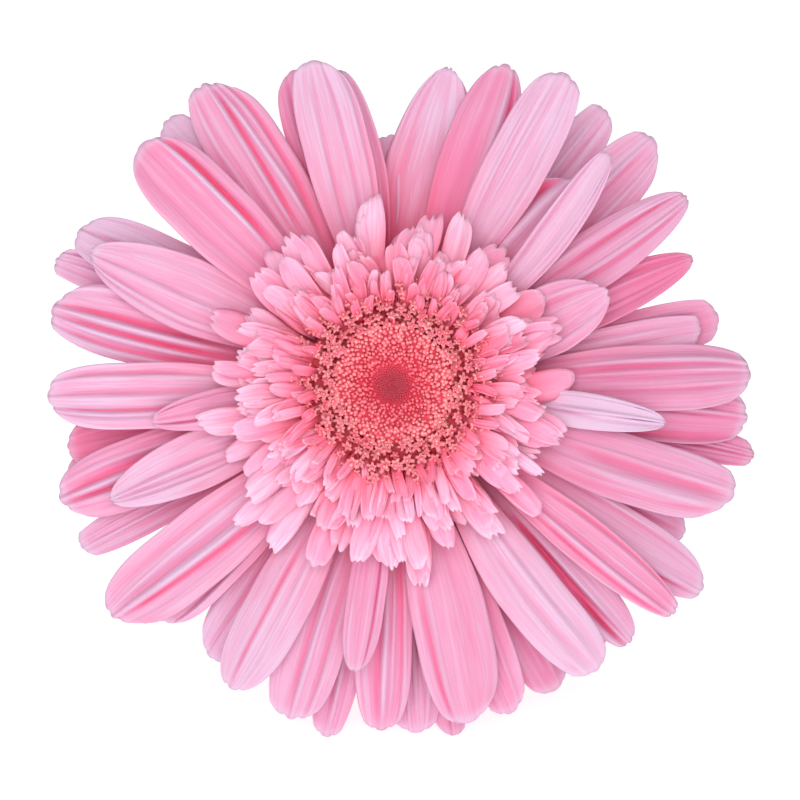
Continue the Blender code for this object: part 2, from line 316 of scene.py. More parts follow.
RAY_TISSUE = Tissue(
    "ray_tissue",
    pale=(0.76, 0.49, 0.68),
    blush=(0.80, 0.24, 0.43),
    rim=(0.73, 0.55, 0.72),
    root=(0.93, 0.095, 0.23),
    vein=(0.79, 0.17, 0.36),
)
# A shaded copy of the ray tissue, duller in red: painted shade for the rays on the bloom's right side.
SHADED_RAY_TISSUE = Tissue(
    "shaded_ray_tissue",
    pale=(0.71, 0.47, 0.65),
    blush=(0.74, 0.24, 0.42),
    rim=(0.69, 0.52, 0.67),
    root=(0.76, 0.085, 0.21),
    vein=(0.72, 0.165, 0.35),
)
TRANS_TISSUE = Tissue(
    "trans_tissue",
    pale=(0.96, 0.58, 0.78),
    blush=(0.97, 0.29, 0.50),
    rim=(0.96, 0.72, 0.87),
    root=(0.98, 0.13, 0.22),
    vein=(0.95, 0.24, 0.44),
    vein_count=3.0,
    vein_share=0.45,
)
DISC_TISSUE = Tissue(
    "disc_tissue",
    pale=(0.98, 0.25, 0.34),
    blush=(0.97, 0.14, 0.22),
    rim=(0.99, 0.54, 0.50),
    root=(0.64, 0.012, 0.045),
    vein=(0.85, 0.10, 0.16),
    vein_count=2.0,
    vein_share=0.15,
    mottle_scale=500.0,
    roughness=0.45,
)
CENTRE_TISSUE = Tissue(
    "centre_tissue",
    pale=(0.84, 0.13, 0.20),
    blush=(0.54, 0.05, 0.09),
    rim=(0.90, 0.22, 0.29),
    root=(0.48, 0.024, 0.056),
    vein=(0.60, 0.04, 0.08),
    vein_share=0.1,
    mottle_scale=600.0,
)
GREEN_TISSUE = Tissue(
    "green_tissue",
    pale=(0.33, 0.46, 0.14),
    blush=(0.16, 0.29, 0.06),
    rim=(0.34, 0.20, 0.12),
    root=(0.42, 0.52, 0.20),
    vein=(0.12, 0.22, 0.05),
    vein_share=0.35,
    vein_count=5.0,
    vein_stretch=2.0,
    mottle=0.5,
    roughness=0.6,
    glow=0.1,
    sheen=0.35,
)
STEM_TISSUE = replace(
    GREEN_TISSUE,
    name="stem_tissue",
    pale=(0.42, 0.52, 0.20),
    blush=(0.27, 0.40, 0.11),
    rim=(0.70, 0.74, 0.50),
    root=(0.34, 0.24, 0.12),
    vein=(0.22, 0.33, 0.08),
    vein_share=0.25,
    vein_count=3.0,
    vein_stretch=0.6,
    mottle=0.4,
    sheen=0.4,
)


@dataclass(frozen=True)
class Flesh:
    """Soft pith with two mottled colours and a pitted skin, for a piece that has no growth of its own."""

    name: str
    pale: Colour
    deep: Colour
    mottle_scale: float = 300.0
    pit_scale: float = 2200.0
    pit_share: float = 0.3
    roughness: float = 0.6
    pit_roughness: float = 0.2
    relief: float = 0.0002
    relief_strength: float = 0.5
    glow: float = 0.15
    glow_depth: float = 0.001

    def material(self) -> bpy.types.Material:
        """Builds the material.

        Returns:
            The material.
        """
        surface = Surface(self.name, {"Subsurface Weight": self.glow, "Subsurface Scale": self.glow_depth})
        mottling = surface.noise(surface.place(), self.mottle_scale, 3.0)
        pits = surface.noise(surface.place(), self.pit_scale)
        colour = surface.mix(mottling, self.pale, self.deep)
        colour = surface.mix(pits * self.pit_share, colour, self.deep)
        roughness = self.roughness + (pits - 0.5) * self.pit_roughness
        normal = surface.bump(pits, self.relief_strength, self.relief)
        surface.feed(surface.shader, {"Base Color": colour, "Roughness": roughness, "Normal": normal})
        return surface.material


# --------------------------------------------------------------------------------------------------
# Places and pieces


@dataclass(frozen=True)
class BloomSpace:
    """The bloom's own frame, in millimetres: +Z forwards along its axis, +Y up, its origin where the axis
    leaves the receptacle's flat top."""

    centre: Vector

    @classmethod
    def around_receptacle(cls) -> "BloomSpace":
        """Finds the frame from the receptacle, whose top is a circle as wide as its box.

        Returns:
            The bloom's frame.
        """
        low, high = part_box("receptacle")
        radius = (high.x - low.x) / 2.0
        across = (low.x + high.x) / 2.0
        back = low.y + radius * math.sin(LEAN_BACK)
        height = high.z - radius * math.cos(LEAN_BACK)
        return cls(Vector((across, back, height)))

    @property
    def matrix(self) -> Matrix:
        """From the bloom's millimetres to metres in the row's frame."""
        lean = Matrix.Rotation(math.pi / 2.0 - LEAN_BACK, 4, "X")
        return Matrix.Translation(self.centre) @ lean @ Matrix.Scale(MM, 4)

    @property
    def axis(self) -> Vector:
        """The way the bloom faces."""
        return (self.matrix.to_3x3() @ UP).normalized()

    def points(self, node: str) -> np.ndarray:
        """A solid's corners in the bloom's frame, one row of three numbers each."""
        back = self.matrix.inverted()
        return np.array([back @ vertex.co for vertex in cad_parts[node].data.vertices])

    def reach(self, node: str) -> "Reach":
        """Measures how far a ring of tissue reaches round the axis and along it.

        Args:
            node: The ring's solid.

        Returns:
            The ring's space.
        """
        points = self.points(node)
        radii = np.hypot(points[:, 0], points[:, 1])
        return Reach(radii.min(), radii.max(), points[:, 2].min(), points[:, 2].max())


@dataclass(frozen=True)
class Reach:
    """The space of a ring round the bloom's axis."""

    inner: float
    outer: float
    low: float
    high: float


# The share of a sheet's thickness that is left at its edges.
RIM_THICKNESS = 0.15
# How much of a solid's ends, in millimetres, tells where its root and tip are.
END_ZONE = 1.0


class Piece:
    """A mesh under construction, with the two attributes that its tissue reads."""

    def __init__(self) -> None:
        """Starts an empty mesh."""
        self.shape = bmesh.new()
        self.strand = self.shape.verts.layers.float_vector.new(STRAND)
        self.growth = self.shape.verts.layers.float_vector.new(GROWTH)

    def taper(self) -> None:
        """Marks the wall as thin along the sheet's edges and full everywhere else."""
        full = self.shape.verts.layers.deform.verify()
        for vertex in self.shape.verts:
            vertex[full][0] = RIM_THICKNESS if vertex.is_boundary else 1.0

    def finish(
        self,
        name: str,
        material: bpy.types.Material,
        node: str,
        slot: str,
        matrix: Matrix,
        thickness: float = 0.0,
    ) -> bpy.types.Object:
        """Places the mesh, dresses it, and lets it stand for a solid.

        Args:
            name: The piece's name.
            material: Its material.
            node: The solid that it replaces.
            slot: The record's material slot for it; not used.
            matrix: From the mesh's millimetres to the row's frame.
            thickness: The wall to give an open sheet, in millimetres, or 0 for a closed shape.

        Returns:
            The finished object.
        """
        bmesh.ops.transform(self.shape, matrix=matrix, verts=self.shape.verts)
        if thickness:
            self.taper()
        else:
            bmesh.ops.recalc_face_normals(self.shape, faces=self.shape.faces)
        mesh = bpy.data.meshes.new(name)
        self.shape.to_mesh(mesh)
        self.shape.free()
        mesh.shade_smooth()
        mesh.materials.append(material)
        item = bpy.data.objects.new(name, mesh)
        bpy.context.scene.collection.objects.link(item)
        if thickness:
            wall = item.modifiers.new("wall", "SOLIDIFY")
            wall.thickness = thickness * MM
            wall.offset = 0.0
            wall.vertex_group = item.vertex_groups.new(name="wall").name
        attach(item, "root")
        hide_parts(node)
        return item


# --------------------------------------------------------------------------------------------------
# Straps: rays, trans florets and bracts


@dataclass(frozen=True)
class Outline:
    """A strap seen flat. Widths are shares of its half width, and places along it shares of its length."""

    claw: float
    narrowing: float
    tip: float
    rounding: float
    notch: float
    notch_at: float = 0.34
    notch_width: float = 0.12
    slant: float = 0.0
    widest: float = 0.6

    def past(self, along: float) -> float:
        """How much of the narrowing tip a place along the strap has passed."""
        return max(along - self.narrowing, 0.0) / (1.0 - self.narrowing)

    def half(self, along: float) -> float:
        """The share of the half width at a place along the strap."""
        swell = self.claw + (1.0 - self.claw) * eased(along, 0.0, self.widest)
        return swell * math.sqrt(1.0 - self.past(along) ** 2 * (1.0 - self.tip**2))

    def recess(self, along: float, across: float) -> float:
        """Says how far the tip falls back beside its middle and at its notches.

        Args:
            along: A place along the strap.
            across: A place across it.

        Returns:
            The distance, as a share of the half width.
        """
        nearness = (abs(across) - self.notch_at) / self.notch_width
        notch = self.notch * math.exp(-nearness * nearness)
        rounded = self.tip * (self.rounding * across * across + self.slant * across)
        return self.past(along) ** 2 * (rounded + notch)


@dataclass(frozen=True)
class Crease:
    """A sharp fold along a strap: a ridge with a groove beside it. Places across run from -1 to 1.

    The groove lies so many widths beside the ridge. The fold grows in over one stretch of the strap, and
    flattens over another.
    """

    height: float
    start: float
    end: float
    width: float = 0.13
    groove_at: float = 1.5
    groove_share: float = 0.8
    growing: Span = (0.25, 0.3)
    flattening: Span = (0.85, 0.15)
    flattened: float = 0.7

    def lift(self, along: float, across: float) -> float:
        """Measures the fold.

        Args:
            along: A place along the strap.
            across: A place across it.

        Returns:
            The fold's height there, in millimetres.
        """
        nearness = (across - self.start - (self.end - self.start) * along) / self.width
        ridge = math.exp(-nearness * nearness)
        groove = math.exp(-((nearness + self.groove_at) ** 2))
        fading = eased(along, *self.growing) * (1.0 - self.flattened * eased(along, *self.flattening))
        return self.height * (ridge - self.groove_share * groove) * fading


@dataclass(frozen=True)
class Relief:
    """The shape of a strap's surface, in millimetres: furrows along it, creases, wavy edges, a curled tip."""

    furrows: float
    furrow_count: float
    phase: float
    wave: float
    curl: float
    wave_turns: float = 1.2
    cupping: float = 0.0
    creases: tuple[Crease, ...] = ()
    growing: Span = (0.0, 0.35)
    flattening: Span = (0.75, 0.25)
    flattened: float = 0.6
    curling: Span = (0.6, 0.4)
    weave: float = 0.8
    weave_rate: float = 2.0

    def folds(self, along: float, across: float) -> float:
        """Measures the furrows and creases.

        Args:
            along: A place along the strap.
            across: A place across it.

        Returns:
            Their height there.
        """
        fading = eased(along, *self.growing) * (1.0 - self.flattened * eased(along, *self.flattening))
        weave = self.weave * math.sin(self.weave_rate * along + self.phase)
        swing = math.pi * self.furrow_count * across + self.phase + weave
        furrow = self.furrows * (1.0 - 2.0 * math.cos(swing / 2.0) ** 4) * fading
        return furrow + sum(crease.lift(along, across) for crease in self.creases)

    def height(self, along: float, across: float) -> float:
        """Measures the whole relief.

        Args:
            along: A place along the strap.
            across: A place across it.

        Returns:
            Its height there.
        """
        ripple = math.sin(math.tau * self.wave_turns * along + self.phase + math.copysign(1.0, across))
        edges = self.wave * abs(across) ** 3 * ripple + self.cupping * across * across
        curl = self.curl * eased(along, *self.curling) ** 2
        return self.folds(along, across) + curl + edges * eased(along, *self.growing)


@dataclass(frozen=True)
class Tint:
    """How a strap is coloured: its tone, its paler tip, its deeper root and folds, and its pale rim.

    Grooves deepen and ridges pale beyond a height in millimetres, as painted shade and painted highlight; the
    deeper root, the deeper edges and shade are painted shade too. The pairs are stretches across or along.
    """

    tone: float
    seed: float
    root: float
    root_end: float
    rim: float
    painted_edge_shade: float
    side_rim: float = 0.35
    flush: float = 0.0
    fading: float = 0.2
    bleach: float = 0.0
    shade: float = 0.0
    painted_fold_shading: float = 0.6
    painted_groove_shade: float = 1.2
    groove_from: float = 0.12
    painted_ridge_highlight: float = 0.4
    ridge_from: float = 0.2
    side: Span = (0.84, 0.16)
    end: Span = (0.95, 0.05)
    flushing: Span = (0.0, 0.4)
    outer_half: Span = (0.5, 0.5)
    bleaching: Span = (0.0, 0.6)

    def growth(self, along: float, across: float, fold: float) -> Vector:
        """Mixes the growth attribute.

        Args:
            along: A place along the strap.
            across: A place across it.
            fold: How many millimetres a fold rises there.

        Returns:
            The tone, rim and root of the tissue, which carry painted shade and painted highlight.
        """
        edge = max(self.side_rim * eased(abs(across), *self.side), eased(along, *self.end))
        flush = self.flush * (1.0 - across * across) * eased(along, *self.flushing)
        # Folds shift the tone: painted shade in grooves, painted highlight on ridges.
        tone = self.tone + flush - self.fading * eased(along, *self.outer_half) - self.painted_fold_shading * fold
        # Painted shade: a set amount, the feet, the overlapped edges and the grooves.
        painted_shade_depth = self.shade + self.root * (1.0 - eased(along, 0.0, self.root_end))
        painted_shade_depth += self.painted_edge_shade * abs(across) ** 3 * (1.0 - eased(along))
        painted_shade_depth += self.painted_groove_shade * max(-fold - self.groove_from, 0.0)
        # Painted highlight along ridges.
        ridge = self.painted_ridge_highlight * max(fold - self.ridge_from, 0.0)
        paled = max(self.bleach * eased(along, *self.bleaching), self.rim * edge, ridge)
        return Vector((clamped(tone), clamped(paled), clamped(painted_shade_depth)))


@dataclass
class Strap:
    """A strip of tissue that grows outwards in the bloom's plane, over a bowl that gives its height."""

    root: Vector
    heading: float
    length: float
    half_width: float
    bow: float
    bowl: Callable[[float, float], float]
    outline: Outline
    relief: Relief
    tint: Tint

    def point(self, along: float, across: float) -> Vector:
        """A point of the strap's middle surface.

        Args:
            along: From 0 at the root to 1 at the tip.
            across: From -1 to 1, right to left seen from the root.

        Returns:
            The point, in the bloom's millimetres.
        """
        forward = turned(1.0, self.heading)
        side = turned(1.0, self.heading + math.pi / 2.0)
        offset = across * self.half_width * self.outline.half(along)
        travelled = along - self.outline.recess(along, across) * self.half_width / self.length
        sideways = offset + self.bow * math.sin(math.pi * travelled)
        height = self.bowl(travelled, offset) + self.relief.height(along, across)
        return self.root + forward * (self.length * travelled) + side * sideways + UP * height

    def grow(self, piece: Piece, cells: tuple[int, int], crowding: float = 0.06) -> None:
        """Adds the strap to a piece as an open sheet.

        Args:
            piece: The piece.
            cells: How many cells it has along and across.
            crowding: How strongly the cells crowd towards the tip.
        """
        made = bmesh.ops.create_grid(piece.shape, x_segments=cells[0], y_segments=cells[1], size=0.5)
        for vertex in made["verts"]:
            share = vertex.co.x + 0.5
            along = share + crowding * math.sin(math.pi * share)
            across = 2.0 * vertex.co.y
            vertex.co = self.point(along, across)
            vertex[piece.strand] = Vector((across, along, self.tint.seed))
            vertex[piece.growth] = self.tint.growth(along, across, self.relief.folds(along, across))


@dataclass(frozen=True)
class MeasuredRay:
    """What a ray's solid says about its strap: where it lies, how wide it is, and its bowl's terms."""

    root: Vector
    heading: float
    length: float
    half_width: float
    bow: float
    terms: np.ndarray

    @classmethod
    def of(cls, points: np.ndarray) -> "MeasuredRay":
        """Measures a solid's corners.

        Args:
            points: The corners in the bloom's millimetres.

        Returns:
            The measured ray.
        """
        flat = points[:, :2]
        middle = flat.mean(axis=0)
        spread = np.linalg.eigh(np.cov((flat - middle).T))
        forward = spread.eigenvectors[:, -1]
        forward = forward * np.sign(forward @ middle)
        travel = (flat - middle) @ forward
        root = flat[travel < travel.min() + END_ZONE].mean(axis=0)
        tip = flat[travel > travel.max() - END_ZONE].mean(axis=0)
        length = float(np.linalg.norm(tip - root))
        forward = (tip - root) / length
        along = ((flat - root) @ forward) / length
        offset = (flat - root) @ np.array((-forward[1], forward[0]))
        swing = np.sin(math.pi * along)
        bow = float((offset @ swing) / (swing @ swing))
        offset = offset - bow * swing
        columns = np.stack((along**0, along, along**2, along**3, offset, offset**2), axis=1)
        terms = np.linalg.lstsq(columns, points[:, 2], rcond=None)[0]
        heading = math.atan2(forward[1], forward[0])
        return cls(Vector((*root, 0.0)), heading, length, float(np.abs(offset).max()), bow, terms)

    def bowl(self, along: float, offset: float) -> float:
        """The measured height of the solid's middle at a place along it and a distance from its middle."""
        rise = ((self.terms[3] * along + self.terms[2]) * along + self.terms[1]) * along + self.terms[0]
        return float(rise + self.terms[4] * offset + self.terms[5] * offset * offset)


class Layer(Enum):
    """The layers of rays, front to back, by the names of their solids."""

    SHORT = "short_ray"
    FRONT = "front_ray"
    MIDDLE = "middle_ray"
    BACK = "back_ray"
    REAR = "rear_ray"


@dataclass(frozen=True)
class Petal:
    """What sets one ray apart: its tone from 0, palest, to 1, how furrowed it is, its creases and its tip.

    The tip starts to narrow at a share of the length, and the claw is the foot's width against the middle.
    bleach pales the whole ray, shade deepens it with painted shade, and fading pales its outer half. width
    and length are shares of its solid's; bow and lift move its middle sideways and all of it up. A ray in
    painted shade takes the shaded copy of the ray tissue, duller in red.
    """

    tone: float
    furrows: float = 0.2
    creases: tuple[Crease, ...] = ()
    tip: float = 0.58
    narrowing: float = 0.73
    bleach: float = 0.0
    shade: float = 0.0
    fading: float = 0.15
    claw: float = 0.5
    width: float = 1.0
    length: float = 1.0
    bow: float = 0.0
    lift: float = 0.0
    in_painted_shade: bool = False


# Creases with a negative height are grooves whose deep colour is painted shade; the wide ones along a ray's
# edge stand for the shade under its neighbour.
PETALS: dict[Layer, tuple[Petal, ...]] = {
    Layer.SHORT: (
        Petal(0.55, 0.1, tip=0.3, narrowing=0.55),
        Petal(0.25, 0.1, tip=0.4, narrowing=0.6, bleach=0.3, width=0.8, bow=-1.0),
        Petal(0.5, 0.1, tip=0.15, narrowing=0.4, fading=-0.05, width=0.85),
        Petal(0.6, 0.1, tip=0.45, width=0.8),
        Petal(0.0, 0.05, (Crease(0.4, 0.3, -0.3),), tip=0.2, narrowing=0.5, bleach=0.7, width=0.9),
    ),
    Layer.FRONT: (
        Petal(0.65, 0.12, (Crease(0.5, 0.1, 0.25, 0.08),), in_painted_shade=True),
        Petal(0.5, 0.12, (Crease(0.5, -0.2, -0.3, 0.09),), tip=0.3, narrowing=0.55, in_painted_shade=True),
        Petal(0.05, 0.12, bleach=0.05, claw=0.35, width=0.84, bow=-0.3),
        Petal(0.1, 0.15),
        Petal(0.5, 0.12, (Crease(1.1, -0.35, -0.5, 0.08),), fading=-0.15),
        Petal(0.3, 0.08, (Crease(0.5, 0.85, 0.85, 0.08),), tip=0.15, narrowing=0.5),
        Petal(0.05, 0.1, (Crease(0.6, -0.5, -0.6, 0.08), Crease(0.8, 0.5, 0.55, 0.07)), fading=0.05),
        Petal(0.2, 0.1, tip=0.15, narrowing=0.5),
        Petal(0.2, 0.12, (Crease(1.2, 0.4, 0.05, -0.09),), fading=-0.15),
        Petal(0.15, 0.12, (Crease(-0.4, -0.3, -0.2, 0.09),), tip=0.45, bleach=0.05),
        Petal(0.4, 0.12, tip=0.62, fading=0.0),
        Petal(0.0, 0.1, bleach=0.15, fading=0.0, width=0.84, bow=-1.2),
        Petal(
            0.35,
            0.12,
            (Crease(0.7, -0.2, -0.5), Crease(-0.6, 0.7, 0.9, 0.14)),
            tip=0.3,
            narrowing=0.6,
            fading=-0.35,
        ),
        Petal(
            0.45,
            0.08,
            (Crease(-0.5, 0.1, 0.0, 0.18),),
            tip=0.68,
            fading=0.0,
            width=0.9,
            bow=-0.5,
            in_painted_shade=True,
        ),
    ),
    Layer.MIDDLE: (
        Petal(0.3),
        Petal(0.7, 0.12, tip=0.12, narrowing=0.45, shade=0.3, fading=-0.4, in_painted_shade=True),
        Petal(0.5, 0.1, (Crease(-1.0, 0.8, 0.5, 0.25),), tip=0.3, lift=0.6),
        Petal(0.85, 0.12, (Crease(0.7, -0.1, -0.4),), tip=0.4, narrowing=0.6),
        Petal(0.5, 0.12, tip=0.2, narrowing=0.45, fading=0.0),
        Petal(0.55, 0.12, (Crease(1.2, 0.15, -0.05, 0.08), Crease(0.8, -0.5, -0.3, 0.08)), tip=0.48),
        Petal(
            0.5,
            0.15,
            (Crease(0.9, 0.1, 0.0, 0.1), Crease(1.2, 0.45, 0.4, 0.08), Crease(1.0, 0.75, 0.8, 0.07)),
            fading=0.4,
        ),
        Petal(0.7, 0.2, (Crease(0.9, -0.2, 0.0, 0.1), Crease(0.8, 0.4, 0.3, 0.08))),
        Petal(0.5, 0.2, length=0.92),
        Petal(0.4, 0.12, tip=0.66, bleach=0.05),
        Petal(0.5, 0.15, (Crease(0.6, 0.2, 0.0),)),
        Petal(0.65, 0.12, tip=0.66),
        Petal(0.2, 0.12, (Crease(-1.4, 0.15, -0.5, 0.2),), tip=0.4, fading=-0.2, in_painted_shade=True),
        Petal(0.35, 0.12, (Crease(0.6, 0.1, -0.3),), tip=0.5, in_painted_shade=True),
        Petal(
            0.7,
            0.15,
            (Crease(-0.7, -0.7, -0.75, 0.2), Crease(0.6, 0.2, 0.1, 0.07)),
            fading=-0.2,
            in_painted_shade=True,
        ),
    ),
    Layer.BACK: (
        Petal(0.7, 0.12, tip=0.7),
        Petal(0.35, 0.12),
        Petal(0.1, 0.12, tip=0.1, narrowing=0.35, width=1.25),
        Petal(1.0, 0.15),
        Petal(0.1, 0.1, bleach=0.5),
        Petal(0.0, 0.15, bleach=0.3),
        Petal(0.4, 0.15),
        Petal(0.25, 0.2),
        Petal(0.5, 0.2),
        Petal(0.8, 0.2),
        Petal(0.8, 0.2, shade=0.1, in_painted_shade=True),
        Petal(0.5, 0.2, length=0.97),
        Petal(0.95, 0.2, shade=0.1, lift=0.5, in_painted_shade=True),
    ),
    Layer.REAR: (
        Petal(0.3, bleach=0.2, length=0.97),
        Petal(0.3),
        Petal(0.9, 0.15, shade=0.3, lift=1.2),
    ),
}

# How deep the painted shade at the rays' feet and edges is: deepest where the layers in front shade it.
PAINTED_SHADE_DEPTHS = {
    Layer.SHORT: (0.25, 0.2),
    Layer.FRONT: (0.42, 0.45),
    Layer.MIDDLE: (0.75, 0.7),
    Layer.BACK: (1.0, 1.0),
    Layer.REAR: (1.0, 1.0),
}


@dataclass(frozen=True)
class Filler:
    """A ray that shows only between others: a neighbour's strap, turned, set to a reach and a width."""

    neighbour: str
    turn: float
    reach: float
    width: float
    tone: float
    # How much painted shade deepens it.
    shade: float = 0.0
    drop: float = 0.5


FILLERS = (
    Filler("back_ray_10", -5.8, 56.0, 9.5, 0.5),
    Filler("rear_ray_03", 5.2, 54.8, 8.5, 0.9, 0.3, -0.8),
    Filler("back_ray_03", 10.0, 40.5, 9.0, 0.4),
    # A deep sheet in full painted shade, for the dark gap beside the twelfth front ray.
    Filler("back_ray_11", 9.2, 54.5, 7.0, 1.0, 1.0, 1.0),
)


@dataclass
class RayFlorets:
    """The outer petals: one thin strap over each ray's solid, furrowed, creased and blunt-tipped.

    The spans are what each petal's own values are drawn from. Ribs are small creases.
    """

    space: BloomSpace
    thickness: float = 0.22
    cells: tuple[int, int] = (40, 40)
    seed: int = 5
    broader_tip: Span = (0.03, 0.13)
    rounding: Span = (0.5, 0.72)
    slant: Span = (-0.35, 0.35)
    notch: Span = (0.02, 0.08)
    notch_at: Span = (0.25, 0.45)
    furrow_share: Span = (0.85, 1.2)
    furrow_count: Span = (2.2, 3.6)
    wave: Span = (0.1, 0.45)
    wave_turns: Span = (0.8, 1.6)
    curl: Span = (-0.8, 0.6)
    ribs: int = 3
    rib_start: Span = (-0.85, 0.85)
    rib_height: Span = (0.2, 0.5)
    rib_drift: Span = (-0.25, 0.25)
    rib_width: Span = (0.06, 0.1)
    # How far along the painted shade at the feet reaches, as a share of the length.
    root_end: Span = (0.6, 0.85)
    rim: Span = (0.3, 0.7)
    flush: Span = (0.0, 0.25)

    def strap(
        self, ray: MeasuredRay, layer: Layer, petal: Petal, number: int, chance: random.Random
    ) -> Strap:
        """Draws the petal over one solid.

        Args:
            ray: The measured solid.
            layer: Its layer.
            petal: What sets it apart.
            number: Its number among all rays.
            chance: The flower's source of chance.

        Returns:
            The petal's strap.
        """
        outline = Outline(
            claw=petal.claw,
            narrowing=petal.narrowing,
            tip=petal.tip + chance.uniform(*self.broader_tip),
            rounding=chance.uniform(*self.rounding),
            slant=chance.uniform(*self.slant),
            notch=chance.uniform(*self.notch),
            notch_at=chance.uniform(*self.notch_at),
        )
        relief = Relief(
            furrows=petal.furrows * chance.uniform(*self.furrow_share),
            furrow_count=chance.uniform(*self.furrow_count),
            phase=chance.uniform(0.0, math.tau),
            wave=chance.uniform(*self.wave),
            wave_turns=chance.uniform(*self.wave_turns),
            curl=chance.uniform(*self.curl),
            creases=petal.creases + tuple(self.rib(chance) for _ in range(self.ribs)),
        )
        # The painted shade at this layer's feet and overlapped edges.
        foot, edge = PAINTED_SHADE_DEPTHS[layer]
        tint = Tint(
            tone=petal.tone,
            seed=float(number),
            root=foot,
            painted_edge_shade=edge,
            bleach=petal.bleach,
            shade=petal.shade,
            fading=petal.fading,
            root_end=chance.uniform(*self.root_end),
            rim=chance.uniform(*self.rim),
            flush=chance.uniform(*self.flush),
        )
        return Strap(
            root=ray.root,
            heading=ray.heading,
            length=ray.length * petal.length,
            half_width=ray.half_width * petal.width,
            bow=ray.bow + petal.bow,
            bowl=lambda along, offset: ray.bowl(along, offset) + petal.lift,
            outline=outline,
            relief=relief,
            tint=tint,
        )

    def rib(self, chance: random.Random) -> Crease:
        """Draws a small crease somewhere on a petal.

        Args:
            chance: The flower's source of chance.

        Returns:
            The crease.
        """
        start = chance.uniform(*self.rib_start)
        height = chance.uniform(*self.rib_height)
        end = start + chance.uniform(*self.rib_drift)
        return Crease(height, start, end, chance.uniform(*self.rib_width))

    def filler_strap(self, filler: Filler, ray: MeasuredRay, layer: Layer, chance: random.Random) -> Strap:
        """Draws a filler beside the ray that it follows.

        Args:
            filler: The filler.
            ray: The measured neighbour.
            layer: Their layer.
            chance: The flower's source of chance.

        Returns:
            The filler's strap.
        """
        turn = Matrix.Rotation(math.radians(filler.turn), 3, "Z")
        moved = replace(
            ray,
            root=turn @ ray.root,
            heading=ray.heading + math.radians(filler.turn),
            length=filler.reach - ray.root.length,
            half_width=filler.width / 2.0,
        )
        strap = self.strap(moved, layer, Petal(filler.tone, shade=filler.shade), len(FILLERS), chance)
        strap.bowl = lambda along, offset: ray.bowl(along, offset) - filler.drop
        return strap

    def build(self) -> list[bpy.types.Object]:
        """Builds every ray.

        Returns:
            The pieces, one for each ray's solid.
        """
        chance = random.Random(self.seed)
        materials = {False: RAY_TISSUE.material(), True: SHADED_RAY_TISSUE.material()}
        matrix = self.space.matrix
        made = []
        for layer, petals in PETALS.items():
            for number, petal in enumerate(petals, start=1):
                node = f"{layer.value}_{number:02d}"
                ray = MeasuredRay.of(self.space.points(node))
                piece = Piece()
                self.strap(ray, layer, petal, len(made), chance).grow(piece, self.cells)
                for filler in FILLERS:
                    if filler.neighbour == node:
                        self.filler_strap(filler, ray, layer, chance).grow(piece, self.cells)
                name, material = f"{node}_petal", materials[petal.in_painted_shade]
                made.append(piece.finish(name, material, node, layer.value, matrix, self.thickness))
        return made


@dataclass(frozen=True)
class StrapRow:
    """A row of like straps round the axis, drawn from spans. Reaches and heights are shares of its ring's."""

    count: int
    tip: Span
    width: Span
    height: Span
    steepness: float
    lift: Span
    start: float = 0.0


@dataclass(frozen=True)
class Ring:
    """The rows that stand for one solid, its material slot, and how far out the roots' colour reaches."""

    node: str
    slot: str
    seed: int
    # How far out the deep root colour reaches: on the trans florets, painted shade under the rows in front.
    root_reach: float
    rows: tuple[StrapRow, ...]


